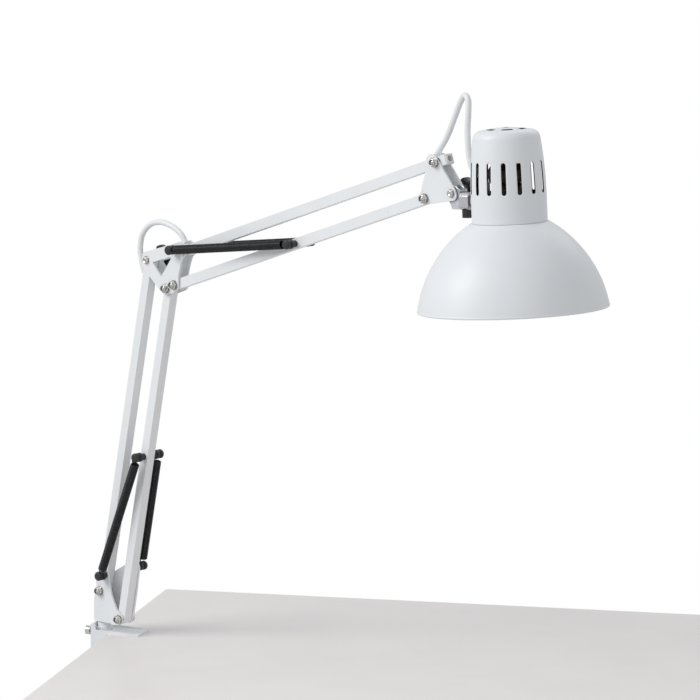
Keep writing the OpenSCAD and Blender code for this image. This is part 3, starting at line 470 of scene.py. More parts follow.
# Each finish has its slot and what make_finish is given. Its colour is the one of its own name, if none is
# named.
FINISHES = {
    "paint": dict(name="powder_coat_white", slot="white_paint", rough=0.42, mottle=(40, 0.015), coat=0.12,
                  coat_rough=0.3, grain=(1300, 0.035), marks=0.05),
    "shade": dict(name="stoved_enamel_white", slot="white_sheet", rough=0.46, mottle=(14, 0.008), coat=0.15,
                  coat_rough=0.38, grain=(420, 0.02), grain_depth=0.00005),
    # Nickel, zinc and die-cast have shade painted into their crevices, darkening the colour where parts meet.
    "nickel": dict(name="bright_nickel", slot="nickel", rough=0.2, metal=1.0, mottle=(160, 0.06),
                   grain=(2600, 0.04), grain_depth=0.00002, stretch=(1, 0.2, 1), painted_crevice_shade=0.0028),
    "zinc": dict(name="bright_zinc", slot="zinc", rough=0.36, metal=1.0, mottle=(260, 0.12), rough_spread=0.1,
                 grain=(1500, 0.06), marks=0.25, painted_crevice_shade=0.004),
    "cast": dict(name="die_cast_grey", slot="die_cast", rough=0.34, metal=0.95, mottle=(300, 0.08),
                 grain=(2200, 0.12), marks=0.2, painted_crevice_shade=0.003),
    "spring": dict(name="oiled_spring_steel", slot="black_spring", rough=0.3, metal=0.55, mottle=(180, 0.2),
                   rough_spread=0.08, grain=(3000, 0.05), grain_depth=0.00002),
    "black": dict(name="black_moulding", slot="black_plastic", rough=0.42, mottle=(90, 0.12),
                  grain=(2600, 0.08)),
    "lead": dict(name="white_sheath", slot="lead_white", rough=0.44, mottle=(70, 0.02), grain=(1500, 0.05),
                 sheen=0.1),
    "fittings": dict(name="white_moulding", slot="white_plastic", rough=0.3, mottle=(70, 0.012),
                     grain=(1900, 0.04), coat=0.15),
    "opal": dict(name="opal_diffuser", slot="opal", rough=0.38, mottle=(60, 0.008), grain=(1200, 0.02)),
    "brass": dict(name="nickelled_brass", slot="pin_brass", rough=0.26, metal=1.0, mottle=(200, 0.05)),
    "rubber": dict(name="pad_rubber", slot="rubber_grey", rough=0.7, mottle=(120, 0.15), grain=(900, 0.2)),
    "cap": dict(name="lamp_cap_metal", slot="cap_metal", colour="zinc", rough=0.28, metal=1.0,
                mottle=(240, 0.05)),
    # Painted shade: the cap's inner wall and the cut edges of its slots, darkened for the shadow inside the
    # cap.
    "inside": dict(name="painted_shade_inner_wall", slot="black_plastic", rough=0.6, mottle=(60, 0.2)),
    "holder": dict(name="dark_phenolic", slot="black_plastic", rough=0.38, mottle=(120, 0.15),
                   grain=(1900, 0.06)),
    "desk": dict(name="desk_laminate", slot="white_paint", rough=0.42, mottle=(9, 0.02), grain=(700, 0.05),
                 coat=0.1, coat_rough=0.3),
}


def finish_of(key):
    """The material of a finish, made when it is first asked for."""
    given = dict(FINISHES[key])
    given.pop("slot")
    return make_finish(colour=getattr(colours(), given.pop("colour", key)), **given)


# The camera, in metres, and the desk top, in millimetres
LENS_MM, SENSOR_MM = 226.3, 36.0
EYE_AT, EYE_TOWARDS = (3.271, -3.022, 0.990), (-0.6863, 0.7107, -0.1547)
LAMPS_TOWARDS = (0.25, 0.0, 0.3)
DESK_CORNER = np.array([-106.4, 188.8])
DESK_TURN = math.radians(-58.9)
DESK_LEFT, DESK_BACK, DESK_T, DESK_EASE = 1150, 1300, 25.0, 1.6


class LAMP_OT_studio(bpy.types.Operator):
    """Camera, lamps, world and the desk top that the clamp stands on"""
    bl_idname = "lamp.build_studio"
    bl_label = "Studio"

    def execute(self, context):
        lens = bpy.data.cameras.new("photo_view")
        lens.lens, lens.sensor_width, lens.clip_end = LENS_MM, SENSOR_MM, 50.0
        eye = bpy.data.objects.new("photo_view", lens)
        eye.location = EYE_AT
        eye.rotation_euler = Vector(EYE_TOWARDS).to_track_quat("-Z", "Y").to_euler()
        context.scene.collection.objects.link(eye)
        context.scene.camera = eye
        self.lamps(context)
        self.surroundings(context)
        self.desk()
        context.scene.view_settings.view_transform = "Standard"
        return {"FINISHED"}

    def lamps(self, context):
        """Three large soft panels turned to the arm's middle."""
        aim = Vector(LAMPS_TOWARDS)
        for name, place, watts, side in (("key", (-1.1, -2.5, 2.3), 68.0, 1.9),
                                         ("fill", (2.6, -1.6, 1.6), 9.0, 2.2),
                                         ("rear", (0.0, 2.4, 2.3), 14.0, 1.8)):
            light = bpy.data.lights.new(name, "AREA")
            light.energy, light.size = watts, side
            panel = bpy.data.objects.new(name, light)
            panel.location = place
            panel.rotation_euler = (aim - Vector(place)).to_track_quat("-Z", "Y").to_euler()
            context.scene.collection.objects.link(panel)

    def surroundings(self, context):
        """The world: dim to matt surfaces, brighter in metal and glass, and white where the camera sees
        it."""
        world = bpy.data.worlds.new("white_studio")
        context.scene.world = world
        world.use_nodes = True
        tree = world.node_tree
        tree.nodes.clear()
        out = node_of(tree, "ShaderNodeOutputWorld", (600, 0))
        plain, white, mirror = [
            node_of(tree, "ShaderNodeBackground", (200, y), {"Color": tone, "Strength": strength}).outputs[0]
            for y, tone, strength in ((150, (0.955, 0.98, 1.0, 1), 0.5), (-50, (1, 1, 1, 1), 1.0),
                                      (-250, (0.9, 0.92, 0.95, 1), 0.8))]
        path = node_of(tree, "ShaderNodeLightPath", (-400, 0))
        bright = tree.nodes.new("ShaderNodeMath")
        bright.operation = "MAXIMUM"
        tree.links.new(path.outputs["Is Glossy Ray"], bright.inputs[0])
        tree.links.new(path.outputs["Is Transmission Ray"], bright.inputs[1])
        light = plain
        for share, other, x in ((bright.outputs[0], mirror, 350),
                                (path.outputs["Is Camera Ray"], white, 480)):
            mix = node_of(tree, "ShaderNodeMixShader", (x, 0))
            for source, socket in zip((share, light, other), mix.inputs):
                tree.links.new(source, socket)
            light = mix.outputs[0]
        tree.links.new(light, out.inputs[0])

    def desk(self):
        """A slab with eased edges: its outline is a corner, two edges at a right angle and far ends off
        the picture. Its rings step inwards by shares of the ease towards both faces, which close on its
        centre."""
        left = np.array([math.cos(DESK_TURN), math.sin(DESK_TURN)])
        along, across = left * DESK_LEFT, np.array([-left[1], left[0]]) * DESK_BACK
        outline = DESK_CORNER + np.array([0 * along, along, along + across, across])
        centre = outline.mean(axis=0)
        inward = (centre - outline) / np.linalg.norm(centre - outline, axis=1)[:, None]
        steps = ((1.4, 0), (0.45, 0.3), (0, 1))
        levels = [(k, -DESK_EASE * d) for k, d in steps]
        levels += [(k, DESK_EASE * d - DESK_T) for k, d in steps[::-1]]
        rings = [np.c_[outline + inward * DESK_EASE * k, np.full(4, z)] for k, z in levels]
        middle = np.repeat(centre[None], 4, 0)
        points = np.stack([np.c_[middle, np.zeros(4)], *rings, np.c_[middle, np.full(4, -DESK_T)]])
        top = piece("desk_top", sheet_grid(points, wrap_v=True), None, "desk", sharp=50)


# Routes of the leads, in millimetres. The loops stand on the arm's plane, measured from the front pivot,
# and the head's has its legs side by side. The hanging lead's is in the clamp's frame.
FROM_PIVOT = [PIVOT_FRONT[0], 0, PIVOT_FRONT[1]]
ELBOW_WAY = np.array([[62.4, 0, 336], [58.5, 0, 348], [56.3, 0, 360], [60, 0, 375], [72, 0, 386],
                      [88, 0, 389.4], [104, 0, 386.4], [116, 0, 380], [122.6, 0, 371.5]]) + FROM_PIVOT
HEAD_WAY = np.array([[460.5, 0, 482], [466.5, 1, 490.5], [475.6, 2.5, 505.3], [484.7, 3.1, 524.3],
                     [491.5, 2.7, 537.5], [499, 0.9, 545], [505.6, -1.6, 541], [507, -3, 528],
                     [506.5, -3.3, 514], [507, -3.3, 502], [508.5, -3.3, 490], [512, -3.3, 479.5],
                     [518.2, -3.3, 475]]) + FROM_PIVOT
CLAMP_WAY = np.array([[0, 0, -7], [0, 0, -20], [-1.5, 0, -38], [-6.5, 0, -57], [-13.5, 0, -76],
                      [-20.5, 0, -95], [-26, 0, -113], [HANG_U, 0, -130]])
SWITCH_TOP, SWITCH_LOW = -135.0, -197.0
COIL_Z, COIL_R, LAY = -244.6, 32.0, 5.9
COIL_U = HANG_U + COIL_R + 1.5 * LAY
BOOT_TOP = np.array([HANG_U + 3.3, 6.0, -276.6])
BOOT_DEPTH = 20.0
RELIEF_LOW, PIN_LOW, PIN_HIGH = -30, -6.6, 38.7


def coil_line(steps=44):
    """The stored lead: a circle of radius COIL_R + a in the clamp's plane, shifted b across it. The pair
    (a, b) goes through two rows of four places a lay apart, from the outside in and out again, and
    slides to the next place by a smooth step in each turn, so that neighbours keep their distance."""
    offset = LAY * np.array([1.5, 0.5, -0.5, -1.5])
    places = np.concatenate([np.c_[offset, np.full(4, -LAY / 2)], np.c_[offset[::-1], np.full(4, LAY / 2)]])
    turns = len(places) - 1
    t = np.arange(turns * steps + 1) / steps
    k = np.minimum(t.astype(int), turns - 1)
    s = t - k
    s = s * s * (3 - 2 * s)
    at = places[k] * (1 - s)[:, None] + places[k + 1] * s[:, None]
    angle = 2 * math.pi * t
    r = COIL_R + at[:, 0]
    return np.c_[COIL_U - r * np.cos(angle), at[:, 1], COIL_Z - r * np.sin(angle)]


def upright(start, end, count, u=0.0):
    """Points straight up or down at u in the clamp's frame."""
    return np.array([[u, 0, z] for z in np.linspace(start, end, count)])


def bundle_way():
    """The whole hanging lead in the clamp's frame: out of the pin, back to the switch, down, coiled, to
    the plug."""
    start = curve_through(CLAMP_WAY, 6)
    coil = coil_line()
    drop = upright(SWITCH_TOP, SWITCH_LOW, 5, HANG_U)
    into = curve_through([[HANG_U, 0, SWITCH_LOW], [HANG_U, -0.4, -212], [HANG_U, -1.9, -226], coil[0]], 5)
    out = curve_through([coil[-1], [HANG_U + 0.5, 4.2, COIL_Z - 12], [HANG_U + 2.4, 5.6, COIL_Z - 23],
                         BOOT_TOP], 5)
    last = BOOT_TOP + np.outer(np.linspace(0, 1, 4)[1:], [0, 0, -BOOT_DEPTH])
    return np.concatenate([start, drop, into[1:-1], coil, out[1:], last])


class LAMP_OT_leads(bpy.types.Operator):
    """Mains lead with its switch, coil, tie and plug, and the loops of lead at the elbow and the head"""
    bl_idname = "lamp.build_leads"
    bl_label = "Leads"

    def execute(self, context):
        r = sizes().lead / MM / 2
        self.loops(r)
        way = bundle_way()
        mains = piece("mains_lead_whole", placed(swept(way, r), CLAMP_AT), "clamp", "lead",
                      nodes=("mains_lead", "lead_coil"), outward=False)
        relief = self.sleeve("outlet_relief", upright(PIN_LOW, RELIEF_LOW, 9), r + 1.6, r + 0.5)
        case = eased("switch_body", "clamp", "fittings", width=1.1, segments=3, angle=25)
        key = eased("switch_rocker", "rocker", "fittings", width=0.5, segments=3)
        self.sleeve("switch_sleeve_top", upright(SWITCH_TOP - 2, SWITCH_TOP + 6, 7, HANG_U), r + 1.7, r + 0.4)
        self.sleeve("switch_sleeve_low", upright(SWITCH_LOW + 2, SWITCH_LOW - 5, 7, HANG_U), r + 1.7, r + 0.4)
        tie = piece("lead_tie", placed(self.tie(), CLAMP_AT), "clamp", "fittings", nodes=("coil_tie",),
                    sharp=40)
        plug = eased("plug_body", "clamp", "fittings", width=1.2, segments=3, angle=25)
        pins = eased("plug_pins", "clamp", "brass", width=0.2)
        inner = swept(upright(PIN_LOW, PIN_HIGH, 9), np.r_[np.full(8, r), r * 0.93], 18)
        piece("pin_lead", inner, "base", "lead", nodes=("base_lead",))
        return {"FINISHED"}

    def sleeve(self, name, line, start_r, end_r):
        """A tapered sleeve round the lead, from one radius to the other along a line in the clamp's
        frame."""
        shape = swept(line, np.linspace(start_r, end_r, len(line)), 20)
        return piece(name, placed(shape, CLAMP_AT), "clamp", "fittings", sharp=30)

    def tie(self):
        """A flat strap round the bundle: a rounded rectangle (a superellipse of power 3.4) with a wall,
        5 tall."""
        power, steps = 3.4, 72
        t = np.linspace(0, 2 * math.pi, steps, endpoint=False)
        c, s = np.cos(t), np.sin(t)
        k = (np.abs(c) ** power + np.abs(s) ** power) ** (-1 / power)
        rings = [(12.6, 6.7, -2.5), (13.4, 7.5, -2.5), (13.7, 7.8, -2.1), (13.7, 7.8, 2.1), (13.4, 7.5, 2.5),
                 (12.6, 6.7, 2.5)]
        grid = np.array([np.c_[COIL_U + COIL_R + a * k * c, b * k * s, np.full(steps, COIL_Z + z)]
                         for a, b, z in rings])
        return sheet_grid(grid, wrap_u=True, wrap_v=True)

    def loops(self, r):
        """The two loops are smooth tubes cut at the brackets into parts, one for each joint of the arm
        that they cross."""
        elbow, head = curve_through(ELBOW_WAY, 12), curve_through(HEAD_WAY, 12)
        for name, line, i, j, a, b in (("elbow_lead_a", elbow, 0, 48, "lower_left", "elbow"),
                                       ("elbow_lead_b", elbow, 48, 96, "elbow", "upper_top"),
                                       ("head_lead_a", head, 0, 54, "upper_top", "head"),
                                       ("head_lead_b", head, 54, 96, "head", "tilt"),
                                       ("head_lead_c", head, 96, 144, "tilt", "shade")):
            part = line[i:j + 1]
            thing = piece(name + "_loop", swept(part, r, 16), None, "lead", nodes=(name,))
            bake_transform(thing)


# Springs: the stub before the first coil, and what their rings are measured from
STUB, TURN_OVER = 7.8, 12
HOOK_ACROSS, COIL_ACROSS = np.array([0.0, 1.0, 0.05]), np.array([0, 0, 1.0])


def spring_shape(length, coil_r, wire):
    """A close-wound tension spring along z from 0 to its length: a loop round each bobbin in the x-z
    plane, and between the stubs a helix (r cos t, r sin t, STUB + wire t / 2 pi). The far loop is the
    near one turned half round about x. The rings stand across the line, measured from y on the loops and
    from z on the helix, and change over in TURN_OVER points."""
    turns = int(round((length - 2 * STUB) / wire))
    t = np.linspace(0, 2 * math.pi * turns, turns * 16 + 1)
    helix = np.c_[coil_r * np.cos(t), coil_r * np.sin(t), STUB + (length - 2 * STUB) * t / t[-1]]
    p = np.radians(np.linspace(-158, 128, 26))
    hook = np.c_[coil_r * np.sin(p), np.zeros(26), -coil_r * np.cos(p)]
    bridge = curve_through([hook[-1], [coil_r * 0.9, -0.5, 4.6], [coil_r, -0.8, 6.4], helix[0]], 5)[1:-1]
    near = np.concatenate([hook, bridge])
    far = (near * [1, -1, -1] + [0, 0, length])[::-1]
    line = np.concatenate([near, helix, far])
    k = np.arange(len(line))
    rising = np.clip((k - len(near) + TURN_OVER) / TURN_OVER, 0, 1)
    falling = np.clip((len(near) + len(helix) + TURN_OVER - k) / TURN_OVER, 0, 1)
    coiled = (rising * falling)[:, None]
    return swept(line, wire / 2 * 0.98, 7, normal_to=HOOK_ACROSS * (1 - coiled) + COIL_ACROSS * coiled)


class LAMP_OT_springs(bpy.types.Operator):
    """Four close-wound tension springs with hooked ends, from the brackets to the spring bars"""
    bl_idname = "lamp.build_springs"
    bl_label = "Springs"

    def execute(self, context):
        wire, coil = sizes().wire / MM, sizes().coil / MM
        for name, p, q, y, a, b in (
                ("lower_spring_front", SPRING_FOOT_FRONT, LOWER_BAR, -SPRING_Y, "base", "lower_right"),
                ("lower_spring_rear", SPRING_FOOT_REAR, LOWER_BAR, SPRING_Y, "base", "lower_right"),
                ("upper_spring_front", SPRING_ELBOW, UPPER_BAR, -SPRING_Y, "elbow", "upper_low"),
                ("upper_spring_rear", SPRING_ELBOW, UPPER_BAR, SPRING_Y, "elbow", "upper_low")):
            reach = q - p
            place = along_at(p, math.atan2(reach[1], reach[0]), y)
            shape = placed(spring_shape(float(np.hypot(*reach)), coil - wire / 2, wire), place)
            thing = piece(name + "_coil", shape, None, "spring", nodes=(name,), outward=False, sharp=60)
            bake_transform(thing)
        return {"FINISHED"}


def nut_shape(low, high, across, bore, proud, thread_r=2.5):
    """A hexagon nut from low to high along z with chamfered ends, and the threaded end of its bolt
    standing proud. The thread is a row of ridges of one pitch, and the end is a shallow dome."""
    face_r = across * 0.36
    ring = np.concatenate([[[0.0, low], [face_r, low]], flat_rows(low, high, 7),
                           [[face_r, high], [bore + 0.5, high], [bore, high - 0.3]]])
    nut = turned(ring, 96, hexagon(across, low - 0.05, high + 0.05))
    t = np.linspace(0, 1, 9) * math.pi / 2
    top = high + proud
    ridges = np.c_[thread_r - 0.16 * (np.arange(9) % 2), np.linspace(high - 0.2, top - 0.9, 9)]
    dome = np.c_[(thread_r - 0.25) * np.cos(t), top - 0.8 + 0.8 * np.sin(t)]
    return joined(nut, turned(np.concatenate([[[bore, high - 0.3]], ridges, dome]), 32))


def bolt_pair(point, turn):
    """Both ends of a pivot bolt: washer and locking nut with its round collar at the front, washer and
    head at the rear."""
    y = PLATE_OUT
    top = y + 4.4
    washer = turned(eased_profile([(0.0, y), (4.9, y), (4.9, y + 0.8), (2.6, y + 0.8)], 0.2), 48)
    collar = eased_profile([(2.7, top - 0.6), (3.6, top - 0.6), (3.6, top + 1.1), (2.7, top + 1.1),
                            (2.7, top - 0.6)], 0.5, 4)
    nut = nut_shape(y + 0.7, top, NUT_ACROSS, 2.3, 0.5)
    head = np.concatenate([[[0.0, y + 0.4], [4.0, y + 0.4]], flat_rows(y + 0.4, y + 3.4, 6),
                           [[3.6, y + 3.4], [3.2, y + 3.25], [0.0, y + 3.25]]])
    head = turned(head, 96, hexagon(NUT_ACROSS, y, y + 3.45))
    shank = turned([(0.0, -y - 0.2), (BOLT_R, -y - 0.2), (BOLT_R, y + 0.6), (0.0, y + 0.6)], 24)
    return joined(placed(joined(washer, nut, turned(collar, 48)), y_axis_at(point, turn, -1)),
                  placed(joined(washer, head, shank), y_axis_at(point, turn + 0.4)))


def inner_rings(point):
    """Thin washers between a tube and the plates."""
    rings = [turned([(2.4, a), (4.8, a), (4.8, a + 0.4), (2.4, a + 0.4), (2.4, a)], 32) for a in (-5.5, 5.1)]
    return placed(joined(*rings), y_axis_at(point))


def round_head(point, high=10.5, radius=3.4):
    """A low round head: its side turns over in a quarter circle and its face is dished towards the
    middle."""
    low = PLATE_OUT
    t = np.linspace(0, math.pi / 2, 9)
    brim = [[0, low - 0.2], [radius + 0.7, low - 0.2], [radius + 0.9, low + 0.1], [radius + 0.7, low + 0.5],
            [radius, low + 0.55]]
    dome = np.c_[radius - 1.0 + np.cos(t), low + 1.6 + (high - low - 1.6) * np.sin(t)]
    dish = np.c_[(radius - 1.0) * np.linspace(0.97, 0, 8), high - 1.1 * np.sqrt(np.linspace(0.05, 1, 8))]
    return placed(turned(np.concatenate([brim, dome, dish]), 48), y_axis_at(point, side=-1))


def bobbin_shape(point, side, start):
    """A grooved bobbin along y: a hub, a flange, the groove for the spring's loop, and a cap over the
    pin."""
    bore, hub, rim, c = 2.05, 3.4, 4.7, SPRING_Y
    profile = eased_profile([(bore, start), (hub, start), (hub, c - 4.6), (rim, c - 4.5), (rim, c - 1.1),
                             (hub, c - 0.7), (hub, c + 0.7), (rim, c + 1.1), (rim, c + 3.7), (3.7, c + 4.9),
                             (0, c + 5.2), (0, c + 4.6), (bore, c + 4.5), (bore, start)], 0.45, 3)
    return placed(turned(profile, 40), y_axis_at(point, side=side))


def pin_end(point, side):
    """End of a spring bar inside its bobbin: a clip washer and a chamfered tip."""
    z = SPRING_Y + 2.6
    profile = eased_profile([(BAR_R, 4.9), (BAR_R, z), (3.2, z), (3.2, z + 0.75), (2.1, z + 0.8),
                             (1.7, z + 0.8), (0, z + 0.8)], 0.12, 2)
    return placed(turned(profile, 32), y_axis_at(point, side=side))


# Star knobs: radius, scallops, and places round the plan
KNOB_R, SCALLOP_R, SCALLOP_AT, KNOB_STEPS = 13.5, 5, 16.2, 144


def star_shape(point, low):
    """A star knob along y. Its plan is KNOB_R less six scallops, each a circle of radius SCALLOP_R about
    a point SCALLOP_AT out, softened over a few degrees; the rim swells as a superellipse between its two
    faces, which dish to the hub."""
    t = np.linspace(0, 2 * math.pi, KNOB_STEPS, endpoint=False)
    near = (t + math.pi / 6) % (math.pi / 3) - math.pi / 6
    root = np.sqrt(np.clip(SCALLOP_R ** 2 - (SCALLOP_AT * np.sin(near)) ** 2, 0, None))
    cut = np.abs(near) < math.asin(SCALLOP_R / SCALLOP_AT)
    plan = np.minimum(KNOB_R, np.where(cut, SCALLOP_AT * np.cos(near) - root, KNOB_R))
    kernel = np.hanning(9) / np.hanning(9).sum()
    plan = np.convolve(np.r_[plan[-4:], plan, plan[:4]], kernel, "valid")
    a = np.linspace(0, math.pi, 15)
    swell = np.abs(np.cos(a)) ** 0.6 * np.sign(np.cos(a))
    even = np.ones(KNOB_STEPS)
    rings = [(2.6 * even, 0), (6.6 * even, 0), (7.0 * even, 0.4), (7.2 * even, 3.2)]
    rings += [(plan * (0.80 + 0.20 * w), 7.4 - 4.3 * s) for w, s in zip(np.sin(a) ** 0.55, swell)]
    rings += [(r * even, z) for r, z in ((9.2, 11.9), (8.2, 12.6), (7.9, 13.2), (7.2, 13.5), (4.0, 13.1),
                                         (0, 13.0))]
    r = np.array([ring for ring, z in rings]).T
    z = np.broadcast_to(low + np.array([z for ring, z in rings]), r.shape)
    grid = np.stack([r * np.cos(t)[:, None], r * np.sin(t)[:, None], z], axis=-1)
    return placed(sheet_grid(grid, wrap_u=True), y_axis_at(point, 0.26))


class LAMP_OT_arm(bpy.types.Operator):
    """Square tubes, brackets, pivot bolts, spring bars, bobbins and star knobs of the arm"""
    bl_idname = "lamp.build_arm"
    bl_label = "Arm and brackets"

    def execute(self, context):
        self.tubes_and_plates()
        self.bolts()
        self.studs_and_knobs()
        self.bars()
        return {"FINISHED"}

    def tubes_and_plates(self):
        """The square tubes, the cap on the upper one's nose, the three brackets' plates and the base's
        web."""
        for node, body, change in (("lower_left_tube", "lower_left", None),
                                   ("lower_right_tube", "lower_right", None),
                                   ("upper_low_tube", "upper_low", None),
                                   ("upper_top_tube", "upper_top", shortened)):
            eased(node, body, "paint", width=0.9, segments=3, angle=50, change=change)
        eased("upper_end_cap", "upper_top", "fittings", width=0.3, change=shortened)
        for node, body, change in (("base_plates", "base", None), ("elbow_plates", "elbow", opened),
                                   ("head_plates", "head", None)):
            eased(node, body, "paint", width=sizes().edge / MM, change=change)
        eased("base_web", "base", "paint", width=0.5)

    def bolts(self):
        """Pivot bolts of each bracket with their rings; the elbow's top one has a round head at the
        front."""
        for name, body, points, extra in (
                ("base_bolts", "base", (PIVOT_FRONT, PIVOT_REAR), ()),
                ("elbow_bolts", "elbow", (ELBOW_LOWER, ELBOW_LOW), (ELBOW_TOP,)),
                ("head_bolts", "head", (HEAD_TOP, HEAD_LOW), ())):
            shapes = [bolt_pair(p, turn=0.3 + 0.5 * k) for k, p in enumerate(points)]
            shapes += [inner_rings(p) for p in (*points, *extra)]
            for p in extra:
                shank = eased_profile([(0, -8), (BOLT_R, -8), (BOLT_R, PLATE_OUT), (4.5, PLATE_OUT),
                                       (4.5, 9.5), (0, 9.9)], 0.2)
                shapes += [round_head(p, high=PLATE_OUT + 2.4, radius=3.6),
                           placed(turned(shank, 40), y_axis_at(p))]
            piece(name + "_set", joined(*shapes), body, "nickel", nodes=(name,), sharp=32)

    def studs_and_knobs(self):
        """Round-headed studs through the elbow and head brackets, and the star knobs on their rear ends."""
        knobs = (("elbow", ELBOW_KNOB_AT), ("head", HEAD_TILT))
        shaft = eased_profile([(0, -8.5), (BOLT_R, -8.5), (BOLT_R, PLATE_OUT), (6, PLATE_OUT), (6, 8.3),
                               (BOLT_R, 8.3), (BOLT_R, 15.4), (0, 15.4)], 0.12)
        for body, p in knobs:
            shapes = [round_head(p), placed(turned(shaft, 40), y_axis_at(p))]
            if body == "elbow":
                shapes.append(inner_rings(p))
            piece(body + "_stud_set", joined(*shapes), body, "nickel", nodes=(body + "_stud",), sharp=32)
        for body, p in knobs:
            name = body + "_knob"
            piece(name + "_star", star_shape(p, KNOB_Y), name, "black", nodes=(name,), sharp=50)

    def bars(self):
        """Spring bars and their bobbins: those on the base stand on one plate each, the others go right
        through."""
        both = (-1, 1)
        feet = ((SPRING_FOOT_FRONT, (-1,)), (SPRING_FOOT_REAR, (1,)))
        for name, body, where, start in (("base_bobbins", "base", feet, PLATE_OUT),
                                         ("lower_bobbins", "lower_right", ((LOWER_BAR, both),), 5.0),
                                         ("elbow_bobbins", "elbow", ((SPRING_ELBOW, both),), PLATE_OUT),
                                         ("upper_bobbins", "upper_low", ((UPPER_BAR, both),), 5.0)):
            shapes = [bobbin_shape(p, s, start) for p, sides in where for s in sides]
            piece(name + "_turned", joined(*shapes), body, "black", nodes=(name,), sharp=40)
        for name, body, where in (("base_posts", "base", feet),
                                  ("lower_bar", "lower_right", ((LOWER_BAR, both),)),
                                  ("elbow_post", "elbow", ((SPRING_ELBOW, both),)),
                                  ("upper_bar", "upper_low", ((UPPER_BAR, both),))):
            shapes = [pin_end(p, s) for p, sides in where for s in sides]
            shapes += [placed(turned([(BAR_R, -5), (BAR_R, 5)], 32), y_axis_at(p))
                       for p, sides in where if sides == both]
            piece(name + "_turned", joined(*shapes), body, "zinc", nodes=(name,), sharp=40)


# Clamp spindle: ends, radius and depth of its thread
ROD_LOW, ROD_HIGH, ROD_R, THREAD_DEPTH = -121, -33, 4.98, 0.55


class LAMP_OT_clamp(bpy.types.Operator):
    """Pressed clamp with its socket, lock screw, threaded spindle, sliding bar and swivelling pad"""
    bl_idname = "lamp.build_clamp"
    bl_label = "Clamp"

    def execute(self, context):
        eased("clamp_frame", "clamp", "paint", width=0.55)
        eased("pin_socket", "clamp", "paint", width=0.5)
        eased("lock_screw", "clamp", "nickel", width=0.55, segments=3)
        eased("swivel_pin", "base", "zinc", width=0.3)
        bar = eased_profile([(0, -28), (3.4, -28), (3.4, -25), (2.2, -24.4), (2.2, 24.4), (3.4, 25),
                             (3.4, 28), (0, 28)], 0.7, 4)
        cup = eased_profile([(0, -30.0), (3.3, -30.0), (3.3, -33.6), (5.3, -33.7), (5.3, -34), (7, -34),
                             (7, -29.6), (12, -28.6), (12, -26), (0, -26)], 0.5, 3)
        face = [(0, PAD_Z - 1), (11.4, PAD_Z - 1), (11.4, PAD_Z - 0.2), (11.0, PAD_Z)]
        face += [(r, PAD_Z - 0.35 * (k % 2)) for k, r in enumerate(np.arange(10.4, 1.0, -0.8))] + [(0, PAD_Z)]
        for name, shape, place, body, finish, node, sharp in (
                ("clamp_spindle_thread", self.spindle(), SPINDLE_AT, "spindle", "zinc", "clamp_spindle", 50),
                ("tommy_bar_turned", turned(bar, 32), TOMMY_AT, "tommy", "zinc", "tommy_bar", 40),
                ("clamp_pad_turned", turned(cup, 64), SPINDLE_AT, "pad", "zinc", "clamp_pad", 40),
                ("pad_face_ribbed", turned(face, 64), SPINDLE_AT, "pad", "rubber", "pad_face", 40)):
            piece(name, placed(shape, place, CLAMP_AT), body, finish, nodes=(node,), sharp=sharp)
        return {"FINISHED"}

    def spindle(self):
        """Threaded rod: radius = ROD_R less THREAD_DEPTH times half of 1 - cos(2 pi z / pitch - turn),
        with the thread fading over 2 at both ends, a plain tip in the pad, and a round head for the
        sliding bar."""
        pitch = sizes().pitch / MM
        z = np.linspace(ROD_LOW, ROD_HIGH, int((ROD_HIGH - ROD_LOW) / pitch * 8))
        t = np.linspace(0, 2 * math.pi, 32, endpoint=False)[:, None]
        fade = np.clip(np.minimum(z - ROD_LOW, ROD_HIGH - z) / 2.0, 0, 1)
        r = ROD_R - THREAD_DEPTH * (0.5 - 0.5 * np.cos(2 * math.pi * z / pitch - t)) * fade
        rod = np.stack([r * np.cos(t), r * np.sin(t), np.broadcast_to(z, r.shape)], axis=-1)
        tip = turned(eased_profile([(ROD_R, ROD_HIGH), (3, -32.6), (3, -27.6), (0, -27.6)], 0.4, 3), 32)
        head = turned(eased_profile([(0, -122.9), (7, -122.9), (7, -110.1), (4.6, -110.1)], 1.1, 4), 48)
        return joined(sheet_grid(rod, wrap_u=True), tip, head)


class LAMP_OT_head(bpy.types.Operator):
    """Strap yoke, die-cast block, friction screw and the stem that carries the shade"""
    bl_idname = "lamp.build_head"
    bl_label = "Tilting head"

    def execute(self, context):
        eased("tilt_yoke", "tilt", "zinc")
        eased("stem_block", "tilt", "cast", width=0.8, segments=3, angle=25)
        eased("friction_screw", "tilt", "black", width=0.5, angle=50)
        eased("stem", "shade", "nickel", width=0.3)
        return {"FINISHED"}


def cap_radius(height):
    """Side of the cap: straight to CAP_STRAIGHT, then an arc of radius CAP_ARC that leans in."""
    return CAP_R - CAP_ARC + np.sqrt(CAP_ARC ** 2 - np.clip(height - CAP_STRAIGHT, 0, None) ** 2)


def ring_cell(inner, outer, to_surface, rows_across=5):
    """Quads between a hole's edge and its cell's edge, both given as closed rings of as many points,
    blended in straight lines on the unrolled sheet and then bent onto the surface."""
    t = np.linspace(0, 1, rows_across)[:, None, None] ** 1.15
    flat = inner[None] * (1 - t) + outer[None] * t
    return sheet_grid(to_surface(flat), wrap_v=True)


def edge_ring(x0, x1, y0, y1, across, up):
    """Points round a rectangle from its lower left corner, going right, up, left and down."""
    a, b = np.linspace(0, 1, across, endpoint=False), np.linspace(0, 1, up, endpoint=False)
    return np.concatenate([np.c_[x0 + (x1 - x0) * a, np.full(across, y0)],
                           np.c_[np.full(up, x1), y0 + (y1 - y0) * b],
                           np.c_[x1 + (x0 - x1) * a, np.full(across, y1)],
                           np.c_[np.full(up, x0), y1 + (y0 - y1) * b]])


def round_axis(r, angle, z):
    """Points at a radius, an angle in degrees and a height."""
    turn = np.radians(angle)
    return np.stack([r * np.cos(turn), r * np.sin(turn), z], axis=-1)


